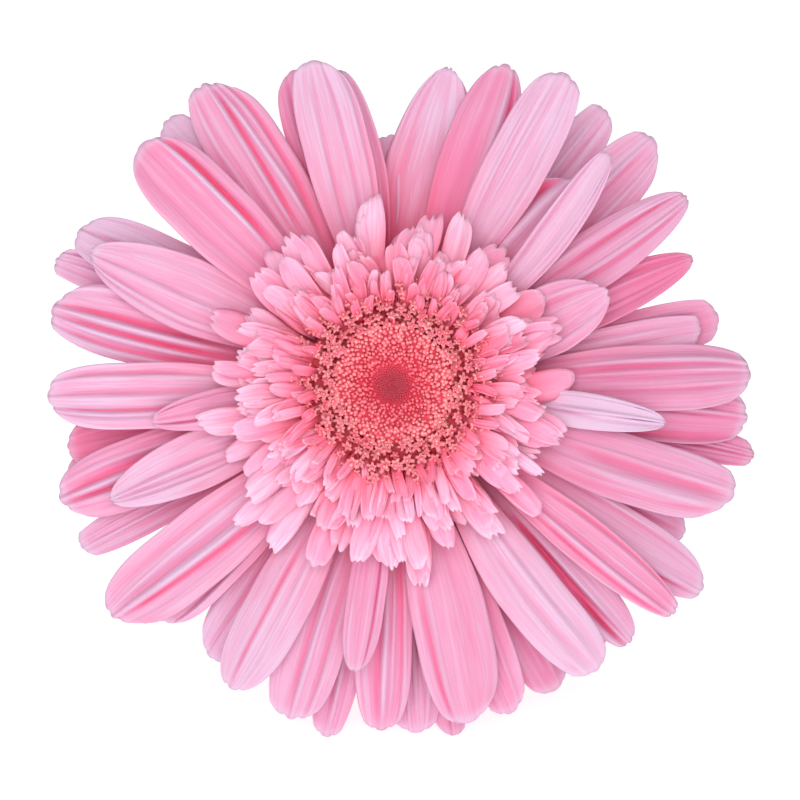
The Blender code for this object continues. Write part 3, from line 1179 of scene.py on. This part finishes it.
@dataclass
class StrapRings:
    """Rings of straps round the bloom's axis that share one look.

    The spans are what each strap is drawn from, and shares multiply the ring's own values. lower_growth is
    how much longer the straps below the axis are, as a share, and how much shorter the ones above.
    """

    space: BloomSpace
    tissue: Tissue
    rings: tuple[Ring, ...]
    outline: Outline
    thickness: float
    cells: tuple[int, int]
    tone: Span
    root: float
    rim: float
    painted_edge_shade: float
    furrows: float
    cupping: Span
    curl: Span
    bow: float
    slant: float
    yaw: float
    roll: float
    lower_growth: float = 0.0
    jitter: float = 0.3
    tip_share: Span = (0.7, 1.3)
    rounding_share: Span = (0.4, 1.6)
    notch_share: Span = (0.0, 1.5)
    notch_at_share: Span = (0.6, 1.4)
    furrow_share: Span = (0.4, 1.0)
    furrow_count: Span = (1.4, 2.6)
    wave: Span = (0.0, 0.6)
    seeds: Span = (0.0, 60.0)
    root_share: Span = (0.8, 1.15)
    rim_share: Span = (0.5, 1.2)
    side_rim: float = 0.2

    def strap(self, ring: Ring, row: StrapRow, number: int, reach: Reach, chance: random.Random) -> Strap:
        """Draws one strap of a row.

        Args:
            ring: The row's ring.
            row: The row.
            number: The strap's place in the row.
            reach: The ring's space.
            chance: The ring's source of chance.

        Returns:
            The strap.
        """
        angle = math.tau / row.count * (number + row.start + chance.uniform(-self.jitter, self.jitter))
        heading = angle + chance.uniform(-self.yaw, self.yaw)
        growth = 1.0 - self.lower_growth * math.sin(angle)
        length = reach.outer * chance.uniform(*row.tip) * growth - reach.inner
        rise = (reach.high - reach.low) * chance.uniform(*row.height)
        lift = chance.uniform(*row.lift)
        tilt = math.tan(chance.uniform(-self.roll, self.roll))

        def bowl(along: float, offset: float) -> float:
            """Rises steeply from the root, then levels out and lifts at its tip."""
            risen = 1.0 - max(1.0 - along, 0.0) ** row.steepness
            return reach.low + rise * risen + lift * along * along + offset * tilt

        return Strap(
            root=turned(reach.inner, angle),
            heading=heading,
            length=length,
            half_width=chance.uniform(*row.width) / 2.0,
            bowl=bowl,
            outline=replace(
                self.outline,
                tip=self.outline.tip * chance.uniform(*self.tip_share),
                rounding=self.outline.rounding * chance.uniform(*self.rounding_share),
                slant=chance.uniform(-self.slant, self.slant),
                notch=self.outline.notch * chance.uniform(*self.notch_share),
                notch_at=self.outline.notch_at * chance.uniform(*self.notch_at_share),
            ),
            relief=Relief(
                furrows=self.furrows * chance.uniform(*self.furrow_share),
                furrow_count=chance.uniform(*self.furrow_count),
                phase=chance.uniform(0.0, math.tau),
                wave=chance.uniform(*self.wave),
                curl=chance.uniform(*self.curl),
                cupping=chance.uniform(*self.cupping),
            ),
            tint=Tint(
                tone=chance.uniform(*self.tone),
                seed=chance.uniform(*self.seeds),
                root=self.root,
                root_end=(ring.root_reach * chance.uniform(*self.root_share) - reach.inner) / length,
                rim=self.rim * chance.uniform(*self.rim_share),
                side_rim=self.side_rim,
                painted_edge_shade=self.painted_edge_shade,
            ),
            bow=chance.uniform(-self.bow, self.bow),
        )

    def build(self) -> list[bpy.types.Object]:
        """Builds the rings.

        Returns:
            The pieces, in the rings' order.
        """
        material = self.tissue.material()
        made = []
        for ring in self.rings:
            chance = random.Random(ring.seed)
            reach = self.space.reach(ring.node)
            piece = Piece()
            for row in ring.rows:
                for number in range(row.count):
                    self.strap(ring, row, number, reach, chance).grow(piece, self.cells)
            name = f"{ring.node}_straps"
            made.append(piece.finish(name, material, ring.node, ring.slot, self.space.matrix, self.thickness))
        return made


@dataclass
class TransFlorets(StrapRings):
    """The dense short straps between the rays and the disc, in three rings."""

    tissue: Tissue = TRANS_TISSUE
    rings: tuple[Ring, ...] = (
        Ring(
            "trans_florets_outer",
            "trans_florets_outer",
            seed=21,
            root_reach=30.0,
            rows=(
                StrapRow(38, (0.62, 0.90), (3.0, 5.6), (0.82, 0.95), 6.5, (-1.8, -0.6)),
                StrapRow(38, (0.56, 0.82), (2.6, 5.0), (0.92, 1.05), 6.5, (-0.8, 0.2), 0.5),
            ),
        ),
        Ring(
            "trans_florets_middle",
            "trans_florets_middle",
            seed=22,
            root_reach=27.5,
            rows=(
                StrapRow(42, (0.72, 0.94), (2.4, 4.6), (0.88, 1.0), 5.5, (-0.4, 0.5)),
                StrapRow(42, (0.62, 0.84), (2.2, 4.0), (0.96, 1.06), 5.5, (-0.3, 0.7), 0.5),
            ),
        ),
        Ring(
            "trans_florets_inner",
            "trans_florets_inner",
            seed=23,
            root_reach=24.8,
            rows=(
                StrapRow(50, (0.82, 1.0), (1.8, 3.2), (0.9, 1.0), 4.5, (-0.3, 0.6)),
                StrapRow(50, (0.72, 0.9), (1.5, 2.6), (0.98, 1.08), 3.5, (0.0, 0.9), 0.5),
                StrapRow(44, (0.64, 0.76), (1.2, 1.9), (1.02, 1.2), 3.0, (0.0, 0.8)),
            ),
        ),
    )
    outline: Outline = Outline(
        claw=0.5, widest=0.75, narrowing=0.74, tip=0.6, rounding=0.5, notch=0.5, notch_at=0.4, notch_width=0.2
    )
    thickness: float = 0.14
    cells: tuple[int, int] = (12, 8)
    tone: Span = (-0.1, 0.8)
    # The straps' deep feet and edges are painted shade where the rows overlap.
    root: float = 0.95
    rim: float = 0.4
    painted_edge_shade: float = 0.8
    furrows: float = 0.22
    cupping: Span = (-0.5, 0.9)
    curl: Span = (-1.4, 1.4)
    bow: float = 0.9
    slant: float = 0.6
    yaw: float = math.radians(15.0)
    roll: float = math.radians(26.0)
    lower_growth: float = 0.06


@dataclass
class Involucre(StrapRings):
    """The cup of green bracts behind the rays, in overlapping rows."""

    tissue: Tissue = GREEN_TISSUE
    rings: tuple[Ring, ...] = (
        Ring(
            "involucre_inner",
            "bracts",
            seed=41,
            root_reach=11.0,
            rows=(StrapRow(24, (0.94, 1.02), (3.6, 4.4), (0.94, 1.0), 2.4, (-0.3, 0.1)),),
        ),
        Ring(
            "involucre_outer",
            "bracts",
            seed=42,
            root_reach=11.0,
            rows=(
                StrapRow(20, (0.92, 1.04), (3.2, 3.9), (0.94, 1.0), 2.2, (-0.5, 0.0)),
                StrapRow(16, (0.62, 0.74), (2.4, 3.0), (0.5, 0.6), 2.0, (-0.6, -0.2), 0.5),
            ),
        ),
    )
    outline: Outline = Outline(claw=0.75, widest=0.35, narrowing=0.35, tip=0.06, rounding=0.0, notch=0.0)
    thickness: float = 0.4
    cells: tuple[int, int] = (12, 6)
    tone: Span = (0.2, 0.9)
    root: float = 0.5
    rim: float = 0.6
    painted_edge_shade: float = 0.0
    furrows: float = 0.08
    cupping: Span = (-0.5, -0.2)
    curl: Span = (-0.4, 0.1)
    bow: float = 0.3
    slant: float = 0.0
    yaw: float = math.radians(3.0)
    roll: float = math.radians(5.0)


# --------------------------------------------------------------------------------------------------
# The disc


@dataclass(frozen=True)
class Level:
    """One ring of a little tower: its radius and height, and how far its lobes stand out and droop.

    lip makes the lobes longer on the tower's +X side, by that share, and shorter on the other. rim and root
    are the colours of its tissue: root on the lower rings is painted shade down between the florets, and rim
    on a bud's top is partly its paler tip and partly painted highlight.
    """

    radius: float
    height: float
    lobe: float = 0.0
    droop: float = 0.0
    lip: float = 0.0
    rim: float = 0.0
    root: float = 0.0


@dataclass(frozen=True)
class Floret:
    """A disc floret as a tower of rings, closed at its top.

    Of every lobe_sides corners of a ring, the first lies between two lobes and the others stand out.
    """

    sides: int
    lobe_sides: int
    levels: tuple[Level, ...]
    seeds_per_tone: float = 7.0

    def grow(self, piece: Piece, matrix: Matrix, tone: float, fade: float = 1.0) -> None:
        """Adds the floret to a piece.

        Args:
            piece: The piece.
            matrix: From the floret's millimetres, +Z up its axis, to the bloom's.
            tone: Its tone.
            fade: How much of its pale rim shows.
        """
        shape = piece.shape
        ring = bmesh.ops.create_circle(shape, segments=self.sides, radius=self.levels[0].radius)["verts"]
        made = []
        for level in self.levels:
            if made:
                extruded = bmesh.ops.extrude_edge_only(shape, edges=self.edges(ring))["geom"]
                ring = [item for item in extruded if isinstance(item, bmesh.types.BMVert)]
            self.set_ring(piece, ring, level, tone, fade)
            made += ring
        bmesh.ops.contextual_create(shape, geom=self.edges(ring))
        bmesh.ops.transform(shape, matrix=matrix, verts=made)

    def edges(self, ring: list[bmesh.types.BMVert]) -> list[bmesh.types.BMEdge]:
        """The edges that join the corners of a ring."""
        links = {edge for vertex in ring for edge in vertex.link_edges if edge.other_vert(vertex) in ring}
        return list(links)

    def set_ring(
        self, piece: Piece, ring: list[bmesh.types.BMVert], level: Level, tone: float, fade: float
    ) -> None:
        """Moves a ring of corners to its level and marks its growth.

        Args:
            piece: The piece.
            ring: The corners.
            level: Their level.
            tone: The floret's tone.
            fade: How much of its pale rim shows.
        """
        for vertex in ring:
            angle = math.atan2(vertex.co.y, vertex.co.x)
            on_lobe = round(angle / math.tau * self.sides) % self.lobe_sides > 0
            stands_out = (1.0 + level.lip * math.cos(angle)) if on_lobe else 0.0
            radius = level.radius + level.lobe * stands_out
            vertex.co = turned(radius, angle, level.height - level.droop * stands_out)
            vertex[piece.growth] = Vector((clamped(tone), level.rim * fade, level.root))
            vertex[piece.strand] = Vector((angle / math.pi, level.height, tone * self.seeds_per_tone))


# The lower rings' root colour is painted shade down between the florets.
OPEN_FLORET = Floret(
    15,
    3,
    (
        Level(0.32, -2.6, root=1.0),
        Level(0.46, -0.9, root=0.8),
        Level(0.56, -0.1, root=0.3),
        Level(0.62, 0.15, lobe=0.42, droop=0.10, lip=0.5, rim=0.1),
        Level(0.56, 0.30, lobe=0.75, droop=0.32, lip=0.5, rim=0.8),
        Level(0.46, 0.42, lobe=0.40, droop=0.05, lip=0.5, rim=0.4),
        Level(0.30, 0.30, root=0.5),
        Level(0.24, 0.70, root=0.1),
        Level(0.12, 0.90, rim=0.9),
    ),
)
STYLE = Floret(
    6,
    3,
    (
        Level(0.16, 0.2, root=0.3),
        Level(0.14, 0.9, rim=0.3),
        Level(0.24, 1.1, lobe=0.2, rim=1.0),
        Level(0.20, 1.3, rim=1.0),
        Level(0.08, 1.35, rim=1.0),
    ),
)
# The deep lower rings are painted shade between the buds; the pale top is partly the bud's paler tip and
# partly painted highlight.
BUD = Floret(
    8,
    2,
    (
        Level(0.75, -1.6, root=0.7),
        Level(0.92, -0.7, root=0.45),
        Level(1.0, -0.2, root=0.1),
        Level(0.88, 0.15, lobe=0.08, rim=0.1),
        Level(0.50, 0.5, lobe=0.18, rim=0.5),
        Level(0.15, 0.62, rim=1.0),
    ),
)


@dataclass
class DiscFlorets:
    """The eye of the bloom: florets set in the spiral of a daisy, opened outside, budded inside.

    The spans are what each floret's own values are drawn from. Leans and their changes are in degrees.
    """

    space: BloomSpace
    seed: int = 61
    centre_height: float = 7.9
    crest_height: float = 10.0
    crest_radius: float = 8.6
    edge_height: float = 8.5
    edge_radius: float = 16.2
    bud_radius: float = 9.3
    centre_radius: float = 3.2
    bed_stops: int = 6
    bed_steps: int = 48
    bed_thickness: float = 1.2
    # The bed's tone, rim and root: deep, as painted shade between the florets.
    bed_shaded_growth: tuple[float, float, float] = (0.8, 0.0, 0.9)
    bed_weld: float = 0.001
    open_overlap: float = 2.0
    open_shoulder: float = 2.4
    open_bed_depth: float = 2.2
    bud_overlap: float = 1.0
    bud_bed_depth: float = 0.6
    centre_bed_depth: float = 0.62
    open_rings: tuple[tuple[float, int], ...] = (
        (9.4, 40),
        (10.6, 42),
        (11.9, 44),
        (13.2, 44),
        (14.5, 42),
        (15.8, 36),
    )
    open_drift: Span = (-0.5, 0.5)
    open_turn: Span = (-0.25, 0.25)
    open_lean: float = 4.0
    open_lean_growth: float = 4.5
    open_lean_from: float = 8.0
    open_lean_change: Span = (-24.0, 24.0)
    open_size: Span = (0.55, 0.95)
    open_depth: Span = (-0.3, 1.0)
    open_spin: Span = (-1.0, 1.0)
    open_tone: Span = (0.0, 0.9)
    open_fade: Span = (0.3, 1.0)
    styled: float = 0.4
    bud_step: float = 0.17
    bud_spread: float = 0.6
    bud_drift: Span = (-0.18, 0.18)
    bud_lean: float = -10.0
    bud_lean_change: Span = (-22.0, 22.0)
    bud_size: Span = (0.28, 0.11)
    bud_size_share: Span = (0.7, 1.25)
    bud_depth: float = 0.35
    bud_depth_change: Span = (-0.25, 0.25)
    bud_depth_spread: Span = (0.3, 1.0)
    bud_tone: Span = (0.8, -0.5)
    bud_tone_change: Span = (-0.25, 0.25)
    bud_fade: Span = (0.15, 0.85)
    bud_fade_share: Span = (0.3, 1.1)
    centre_step: float = 0.22
    centre_lean: Span = (-14.0, 4.0)
    centre_size: float = 0.22
    centre_size_share: Span = (0.85, 1.1)
    centre_depth: float = 0.85
    centre_depth_change: Span = (0.0, 0.15)
    centre_tone: Span = (1.0, -0.9)
    centre_fade: float = 0.5

    def height(self, radius: float) -> float:
        """Shapes the disc's face: a dimple, a crest and a falling shoulder.

        Args:
            radius: A distance from the bloom's axis.

        Returns:
            The face's height there.
        """
        if radius < self.crest_radius:
            rise = self.crest_height - self.centre_height
            return self.centre_height + rise * eased(radius, 0.0, self.crest_radius)
        past = (radius - self.crest_radius) / (self.edge_radius - self.crest_radius)
        return self.crest_height + (self.edge_height - self.crest_height) * past * past

    def seat(
        self, radius: float, angle: float, lean: float, size: float, depth: float, spin: float
    ) -> Matrix:
        """Where a floret stands.

        Args:
            radius: Its distance from the bloom's axis.
            angle: Its angle round the axis.
            lean: How far it leans outwards, in radians.
            size: Its scale.
            depth: How far it stands below the disc's face.
            spin: Its turn about its own axis.

        Returns:
            From the floret's millimetres to the bloom's.
        """
        place = Matrix.Translation(turned(radius, angle, self.height(radius) - depth))
        tilt = Matrix.Rotation(angle, 4, "Z") @ Matrix.Rotation(lean, 4, "Y")
        return place @ tilt @ Matrix.Rotation(spin, 4, "Z") @ Matrix.Diagonal((size, size, 1.0, 1.0))

    def bed(self, piece: Piece, inner: float, outer: float, depth: float) -> None:
        """Starts a piece with the dark tissue that its florets stand in.

        Args:
            piece: The piece, still empty.
            inner: Its inner radius.
            outer: Its outer radius.
            depth: How far it lies below the disc's face.
        """
        radii = [inner + (outer - inner) * stop / self.bed_stops for stop in range(self.bed_stops + 1)]
        face = [(radius, 0.0, self.height(radius) - depth) for radius in radii]
        back = [(radius, 0.0, height - self.bed_thickness) for radius, _, height in reversed(face)]
        chain = [piece.shape.verts.new(place) for place in face + back]
        edges = [piece.shape.edges.new(pair) for pair in zip(chain, chain[1:] + chain[:1])]
        bmesh.ops.spin(
            piece.shape,
            geom=chain + edges,
            cent=Vector(),
            axis=UP,
            angle=math.tau,
            steps=self.bed_steps,
            use_merge=True,
        )
        bmesh.ops.remove_doubles(piece.shape, verts=piece.shape.verts, dist=self.bed_weld)
        # The bed's deep colour is painted shade between the florets.
        for vertex in piece.shape.verts:
            vertex[piece.growth] = Vector(self.bed_shaded_growth)

    def build_open(self, material: bpy.types.Material) -> bpy.types.Object:
        """Builds the ring of opened florets with their styles.

        Args:
            material: The disc's tissue.

        Returns:
            The piece.
        """
        chance = random.Random(self.seed)
        piece = Piece()
        inner, outer = self.bud_radius - self.open_overlap, self.edge_radius - self.open_shoulder
        self.bed(piece, inner, outer, self.open_bed_depth)
        for radius_middle, count in self.open_rings:
            for number in range(count):
                radius = radius_middle + chance.uniform(*self.open_drift)
                angle = math.tau * (number + chance.uniform(*self.open_turn)) / count + radius_middle
                lean = self.open_lean + self.open_lean_growth * (radius - self.open_lean_from)
                seat = self.seat(
                    radius,
                    angle,
                    lean=math.radians(lean + chance.uniform(*self.open_lean_change)),
                    size=chance.uniform(*self.open_size),
                    depth=chance.uniform(*self.open_depth),
                    spin=chance.uniform(*self.open_spin),
                )
                tone = chance.uniform(*self.open_tone)
                fade = chance.uniform(*self.open_fade)
                OPEN_FLORET.grow(piece, seat, tone, fade)
                if chance.random() < self.styled:
                    STYLE.grow(piece, seat, tone, fade)
        node = "disc_florets_open"
        return piece.finish("disc_florets_open_blooms", material, node, node, self.space.matrix)

    def build_buds(self, material: bpy.types.Material) -> bpy.types.Object:
        """Builds the buds in their spiral.

        Args:
            material: The disc's tissue.

        Returns:
            The piece.
        """
        chance = random.Random(self.seed + 1)
        piece = Piece()
        self.bed(piece, self.centre_radius - self.bud_overlap, self.bud_radius, self.bud_bed_depth)
        reaches = (self.centre_radius, self.bud_radius)
        first, last = (int((reach / self.bud_step) ** (1.0 / self.bud_spread)) for reach in reaches)
        for number in range(first + 1, last):
            radius = self.bud_step * number**self.bud_spread + chance.uniform(*self.bud_drift)
            ripeness = (radius - self.centre_radius) / (self.bud_radius - self.centre_radius)
            lean_change = self.bud_lean * (1.0 - ripeness)
            seat = self.seat(
                radius,
                number * GOLDEN_ANGLE + chance.uniform(*self.bud_drift) / radius,
                lean=math.radians(chance.uniform(*self.bud_lean_change) + lean_change),
                size=grown(self.bud_size, ripeness) * chance.uniform(*self.bud_size_share),
                depth=self.bud_depth
                + chance.uniform(*self.bud_depth_change) * grown(self.bud_depth_spread, ripeness),
                spin=chance.uniform(0.0, math.tau),
            )
            tone = grown(self.bud_tone, ripeness) + chance.uniform(*self.bud_tone_change)
            BUD.grow(piece, seat, tone, grown(self.bud_fade, ripeness) * chance.uniform(*self.bud_fade_share))
        node = "disc_florets_budded"
        return piece.finish("disc_florets_budded_buds", material, node, node, self.space.matrix)

    def build_centre(self, material: bpy.types.Material) -> bpy.types.Object:
        """Builds the youngest buds in the dimple.

        Args:
            material: The centre's tissue.

        Returns:
            The piece.
        """
        chance = random.Random(self.seed + 2)
        piece = Piece()
        self.bed(piece, 0.0, self.centre_radius, self.centre_bed_depth)
        for number in range(1, int((self.centre_radius / self.centre_step) ** 2)):
            radius = self.centre_step * math.sqrt(number)
            seat = self.seat(
                radius,
                number * GOLDEN_ANGLE,
                lean=math.radians(chance.uniform(*self.centre_lean)),
                size=self.centre_size * chance.uniform(*self.centre_size_share),
                depth=self.centre_depth + chance.uniform(*self.centre_depth_change),
                spin=chance.uniform(0.0, math.tau),
            )
            share = radius / self.centre_radius
            BUD.grow(piece, seat, grown(self.centre_tone, share * share), self.centre_fade * share)
        return piece.finish("disc_centre_buds", material, "disc_centre", "disc_centre", self.space.matrix)

    def build(self) -> list[bpy.types.Object]:
        """Builds the whole disc.

        Returns:
            The pieces, outermost first.
        """
        disc = DISC_TISSUE.material()
        return [self.build_open(disc), self.build_buds(disc), self.build_centre(CENTRE_TISSUE.material())]


# --------------------------------------------------------------------------------------------------
# The stem and the receptacle


def flowing(chain: list[Vector], steps: int) -> list[Vector]:
    """Refines a chain of points into a smooth run through all of them.

    Args:
        chain: The points.
        steps: How many steps take the place of each one.

    Returns:
        The finer chain.
    """
    last = len(chain) - 1
    run = []
    for number in range(last):
        before, start, end, after = (chain[min(max(number + shift, 0), last)] for shift in (-1, 0, 1, 2))
        out = start + (end - before) / 6.0
        back = end - (after - start) / 6.0
        run += interpolate_bezier(start, out, back, end, steps + 1)[:-1]
    return run + [chain[last]]


@dataclass
class Stem:
    """The bare scape: ribbed, lightly felted, and cut aslant."""

    solid_sides: int = 12
    solid_digits: int = 7
    sides: int = 48
    steps: int = 5
    snugness: float = 0.95
    ribs: int = 9
    rib_depth: float = 0.022
    cut_length: float = 14.0 * MM
    rind: float = 0.24
    pith_recess: float = 0.3 * MM
    pith_edge: float = 0.99
    top_tone: float = 0.25
    tone_growth: float = 0.3
    foot: float = 0.6
    foot_stretch: Span = (0.85, 0.15)
    strand_turns: float = 2.0
    strand_length: float = 40.0
    strand_seed: float = 3.0

    def rings(self) -> list[list[Vector]]:
        """Reads the solid's corners.

        Returns:
            Its rings of corners, from the bloom to the cut.
        """
        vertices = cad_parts["stem"].data.vertices
        corners = {tuple(round(value, self.solid_digits) for value in vertex.co) for vertex in vertices}
        ordered = sorted((Vector(corner) for corner in corners), key=lambda corner: corner.y)
        starts = range(0, len(ordered), self.solid_sides)
        return [ordered[start : start + self.solid_sides] for start in starts]

    def cut_normal(self, ring: list[Vector], middle: Vector, forward: Vector) -> Vector:
        """The direction that the cut end faces.

        Args:
            ring: The last ring of corners.
            middle: Their middle.
            forward: The stem's direction there.

        Returns:
            The cut's normal.
        """
        highest = max(ring, key=lambda corner: corner.z) - middle
        widest = max(ring, key=lambda corner: corner.x) - middle
        normal = highest.cross(widest).normalized()
        return normal if normal.dot(forward) > 0.0 else -normal

    def build(self) -> list[bpy.types.Object]:
        """Builds the stem from a straight rod that is laid along the solid.

        Returns:
            The piece.
        """
        rings = self.rings()
        middles = [sum(ring, Vector()) / len(ring) for ring in rings]
        girths = [min((corner - middle).length for corner in ring) for ring, middle in zip(rings, middles)]
        path = flowing(middles, self.steps)
        last = len(path) - 1
        piece = Piece()
        bmesh.ops.create_cone(
            piece.shape, cap_ends=True, segments=self.sides, radius1=1.0, radius2=1.0, depth=last
        )
        long_edges = [edge for edge in piece.shape.edges if edge.calc_length() > last / 2.0]
        bmesh.ops.subdivide_edges(piece.shape, edges=long_edges, cuts=last - 1)
        cap = max(piece.shape.faces, key=lambda face: face.calc_center_median().z)
        bmesh.ops.inset_region(piece.shape, faces=[cap], thickness=self.rind, use_even_offset=True)
        end_forward = (path[last] - path[last - 1]).normalized()
        normal = self.cut_normal(rings[-1], middles[-1], end_forward)
        for vertex in piece.shape.verts:
            stop = round(vertex.co.z + last / 2.0)
            share = vertex.co.xy.length
            angle = math.atan2(vertex.co.y, vertex.co.x)
            forward = (path[min(stop + 1, last)] - path[max(stop - 1, 0)]).normalized()
            sideways = UP.cross(forward).normalized()
            upward = forward.cross(sideways)
            rib = 1.0 + self.rib_depth * math.cos(self.ribs * angle)
            girth = float(np.interp(stop / self.steps, range(len(girths)), girths)) * self.snugness * rib
            offset = (sideways * math.cos(angle) + upward * math.sin(angle)) * girth * share
            left = (path[last] - path[stop]).length
            slant = -normal.dot(offset) / normal.dot(forward) * max(1.0 - left / self.cut_length, 0.0)
            pith = stop == last and share < self.pith_edge
            slant -= self.pith_recess if pith else 0.0
            vertex.co = path[stop] + offset + forward * slant
            along = stop / last
            strand = (abs(angle) * self.strand_turns, along * self.strand_length, self.strand_seed)
            vertex[piece.strand] = Vector(strand)
            tone = self.top_tone + self.tone_growth * along
            foot = self.foot * eased(along, *self.foot_stretch)
            vertex[piece.growth] = Vector((tone, 1.0 if pith else 0.0, foot))
        return [piece.finish("stem_scape", STEM_TISSUE.material(), "stem", "stem", Matrix.Identity(4))]


@dataclass
class Receptacle:
    """The fleshy cone under the florets, whose solid is shown as it is."""

    finish: Flesh = Flesh("receptacle_flesh", (0.62, 0.68, 0.38), (0.42, 0.52, 0.20))

    def build(self) -> list[bpy.types.Object]:
        """Dresses the solid.

        Returns:
            The dressed solid.
        """
        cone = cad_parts["receptacle"]
        cone.material_slots[0].material = self.finish.material()
        return [cone]


# --------------------------------------------------------------------------------------------------
# The studio


@dataclass
class Softbox:
    """A square light panel that faces the bloom."""

    name: str
    azimuth: float
    elevation: float
    distance: float
    size: float
    power: float


@dataclass
class Studio:
    """A pale floor, soft light and a camera that looks straight into the bloom."""

    space: BloomSpace
    floor_size: float = 8.0
    floor_cells: int = 8
    floor_colour: Colour = (0.93, 0.925, 0.92)
    floor_tooth: Colour = (0.95, 0.95, 0.95)
    floor_tooth_scale: float = 900.0
    floor_roughness: Span = (0.7, 0.1)
    floor_gloss: float = 0.2
    floor_glow: float = 0.6
    floor_glow_colour: Colour = (1.0, 1.0, 1.0)
    sky: float = 0.42
    sky_colour: Colour = (1.0, 0.99, 0.985)
    lens: float = 135.0
    sensor: float = 36.0
    view_width: float = 127.4 * MM
    aim: Vector = field(default_factory=lambda: Vector((1.1, -2.4, 0.0)))
    lights: tuple[Softbox, ...] = (
        Softbox("key_light", azimuth=-9.0, elevation=25.0, distance=0.9, size=0.8, power=4.5),
        Softbox("fill_light", azimuth=30.0, elevation=20.0, distance=1.0, size=0.9, power=1.2),
    )

    def build_floor(self) -> bpy.types.Object:
        """Builds the floor.

        Returns:
            The floor, which isn't part of the flower.
        """
        shape = bmesh.new()
        cells = self.floor_cells
        bmesh.ops.create_grid(shape, x_segments=cells, y_segments=cells, size=self.floor_size / 2.0)
        mesh = bpy.data.meshes.new("floor")
        shape.to_mesh(mesh)
        shape.free()
        constants = {"Specular IOR Level": self.floor_gloss, "Emission Strength": self.floor_glow}
        surface = Surface("floor_card", constants)
        tooth = surface.noise(surface.place(), self.floor_tooth_scale)
        smooth, rougher = self.floor_roughness
        surface.feed(
            surface.shader,
            {
                "Base Color": surface.mix(tooth, self.floor_colour, self.floor_tooth),
                "Roughness": smooth + tooth * rougher,
                "Emission Color": self.floor_glow_colour,
            },
        )
        mesh.materials.append(surface.material)
        floor = bpy.data.objects.new("floor", mesh)
        bpy.context.scene.collection.objects.link(floor)
        return floor

    def build_lights(self) -> None:
        """Hangs the panels and lights the sky."""
        for panel in self.lights:
            azimuth = math.radians(panel.azimuth)
            elevation = math.radians(panel.elevation)
            flat = math.cos(elevation)
            away = Vector((math.sin(azimuth) * flat, -math.cos(azimuth) * flat, math.sin(elevation)))
            data = bpy.data.lights.new(panel.name, "AREA")
            data.size = panel.size
            data.energy = panel.power
            lamp = bpy.data.objects.new(panel.name, data)
            lamp.location = self.space.centre + away * panel.distance
            lamp.rotation_euler = away.to_track_quat("Z", "Y").to_euler()
            bpy.context.scene.collection.objects.link(lamp)
        world = bpy.data.worlds.new("sky")
        world.use_nodes = True
        sockets = world.node_tree.nodes["Background"].inputs
        sockets["Color"].default_value = (*self.sky_colour, 1.0)
        sockets["Strength"].default_value = self.sky
        bpy.context.scene.world = world

    def build_camera(self) -> None:
        """Points the camera along the bloom's axis."""
        data = bpy.data.cameras.new("camera")
        data.lens = self.lens
        data.sensor_width = self.sensor
        data.clip_start = 0.01
        camera = bpy.data.objects.new("camera", data)
        target = self.space.matrix @ self.aim
        camera.location = target + self.space.axis * (self.view_width * self.lens / self.sensor)
        camera.rotation_euler = self.space.axis.to_track_quat("Z", "Y").to_euler()
        bpy.context.scene.collection.objects.link(camera)
        bpy.context.scene.camera = camera
        bpy.context.scene.view_settings.view_transform = "Standard"

    def build(self) -> None:
        """Sets the studio up."""
        self.build_floor()
        self.build_lights()
        self.build_camera()


def main() -> None:
    """Builds the flower and its studio in order."""
    logging.basicConfig(level=logging.INFO, format="%(message)s")
    space = BloomSpace.around_receptacle()
    assemblies = (
        RayFlorets(space),
        TransFlorets(space),
        DiscFlorets(space),
        Involucre(space),
        Receptacle(),
        Stem(),
    )
    for assembly in assemblies:
        for item in assembly.build():
            log.info("%s: %d faces", item.name, len(item.data.polygons))
    Studio(space).build()


if __name__ == "__main__":
    main()
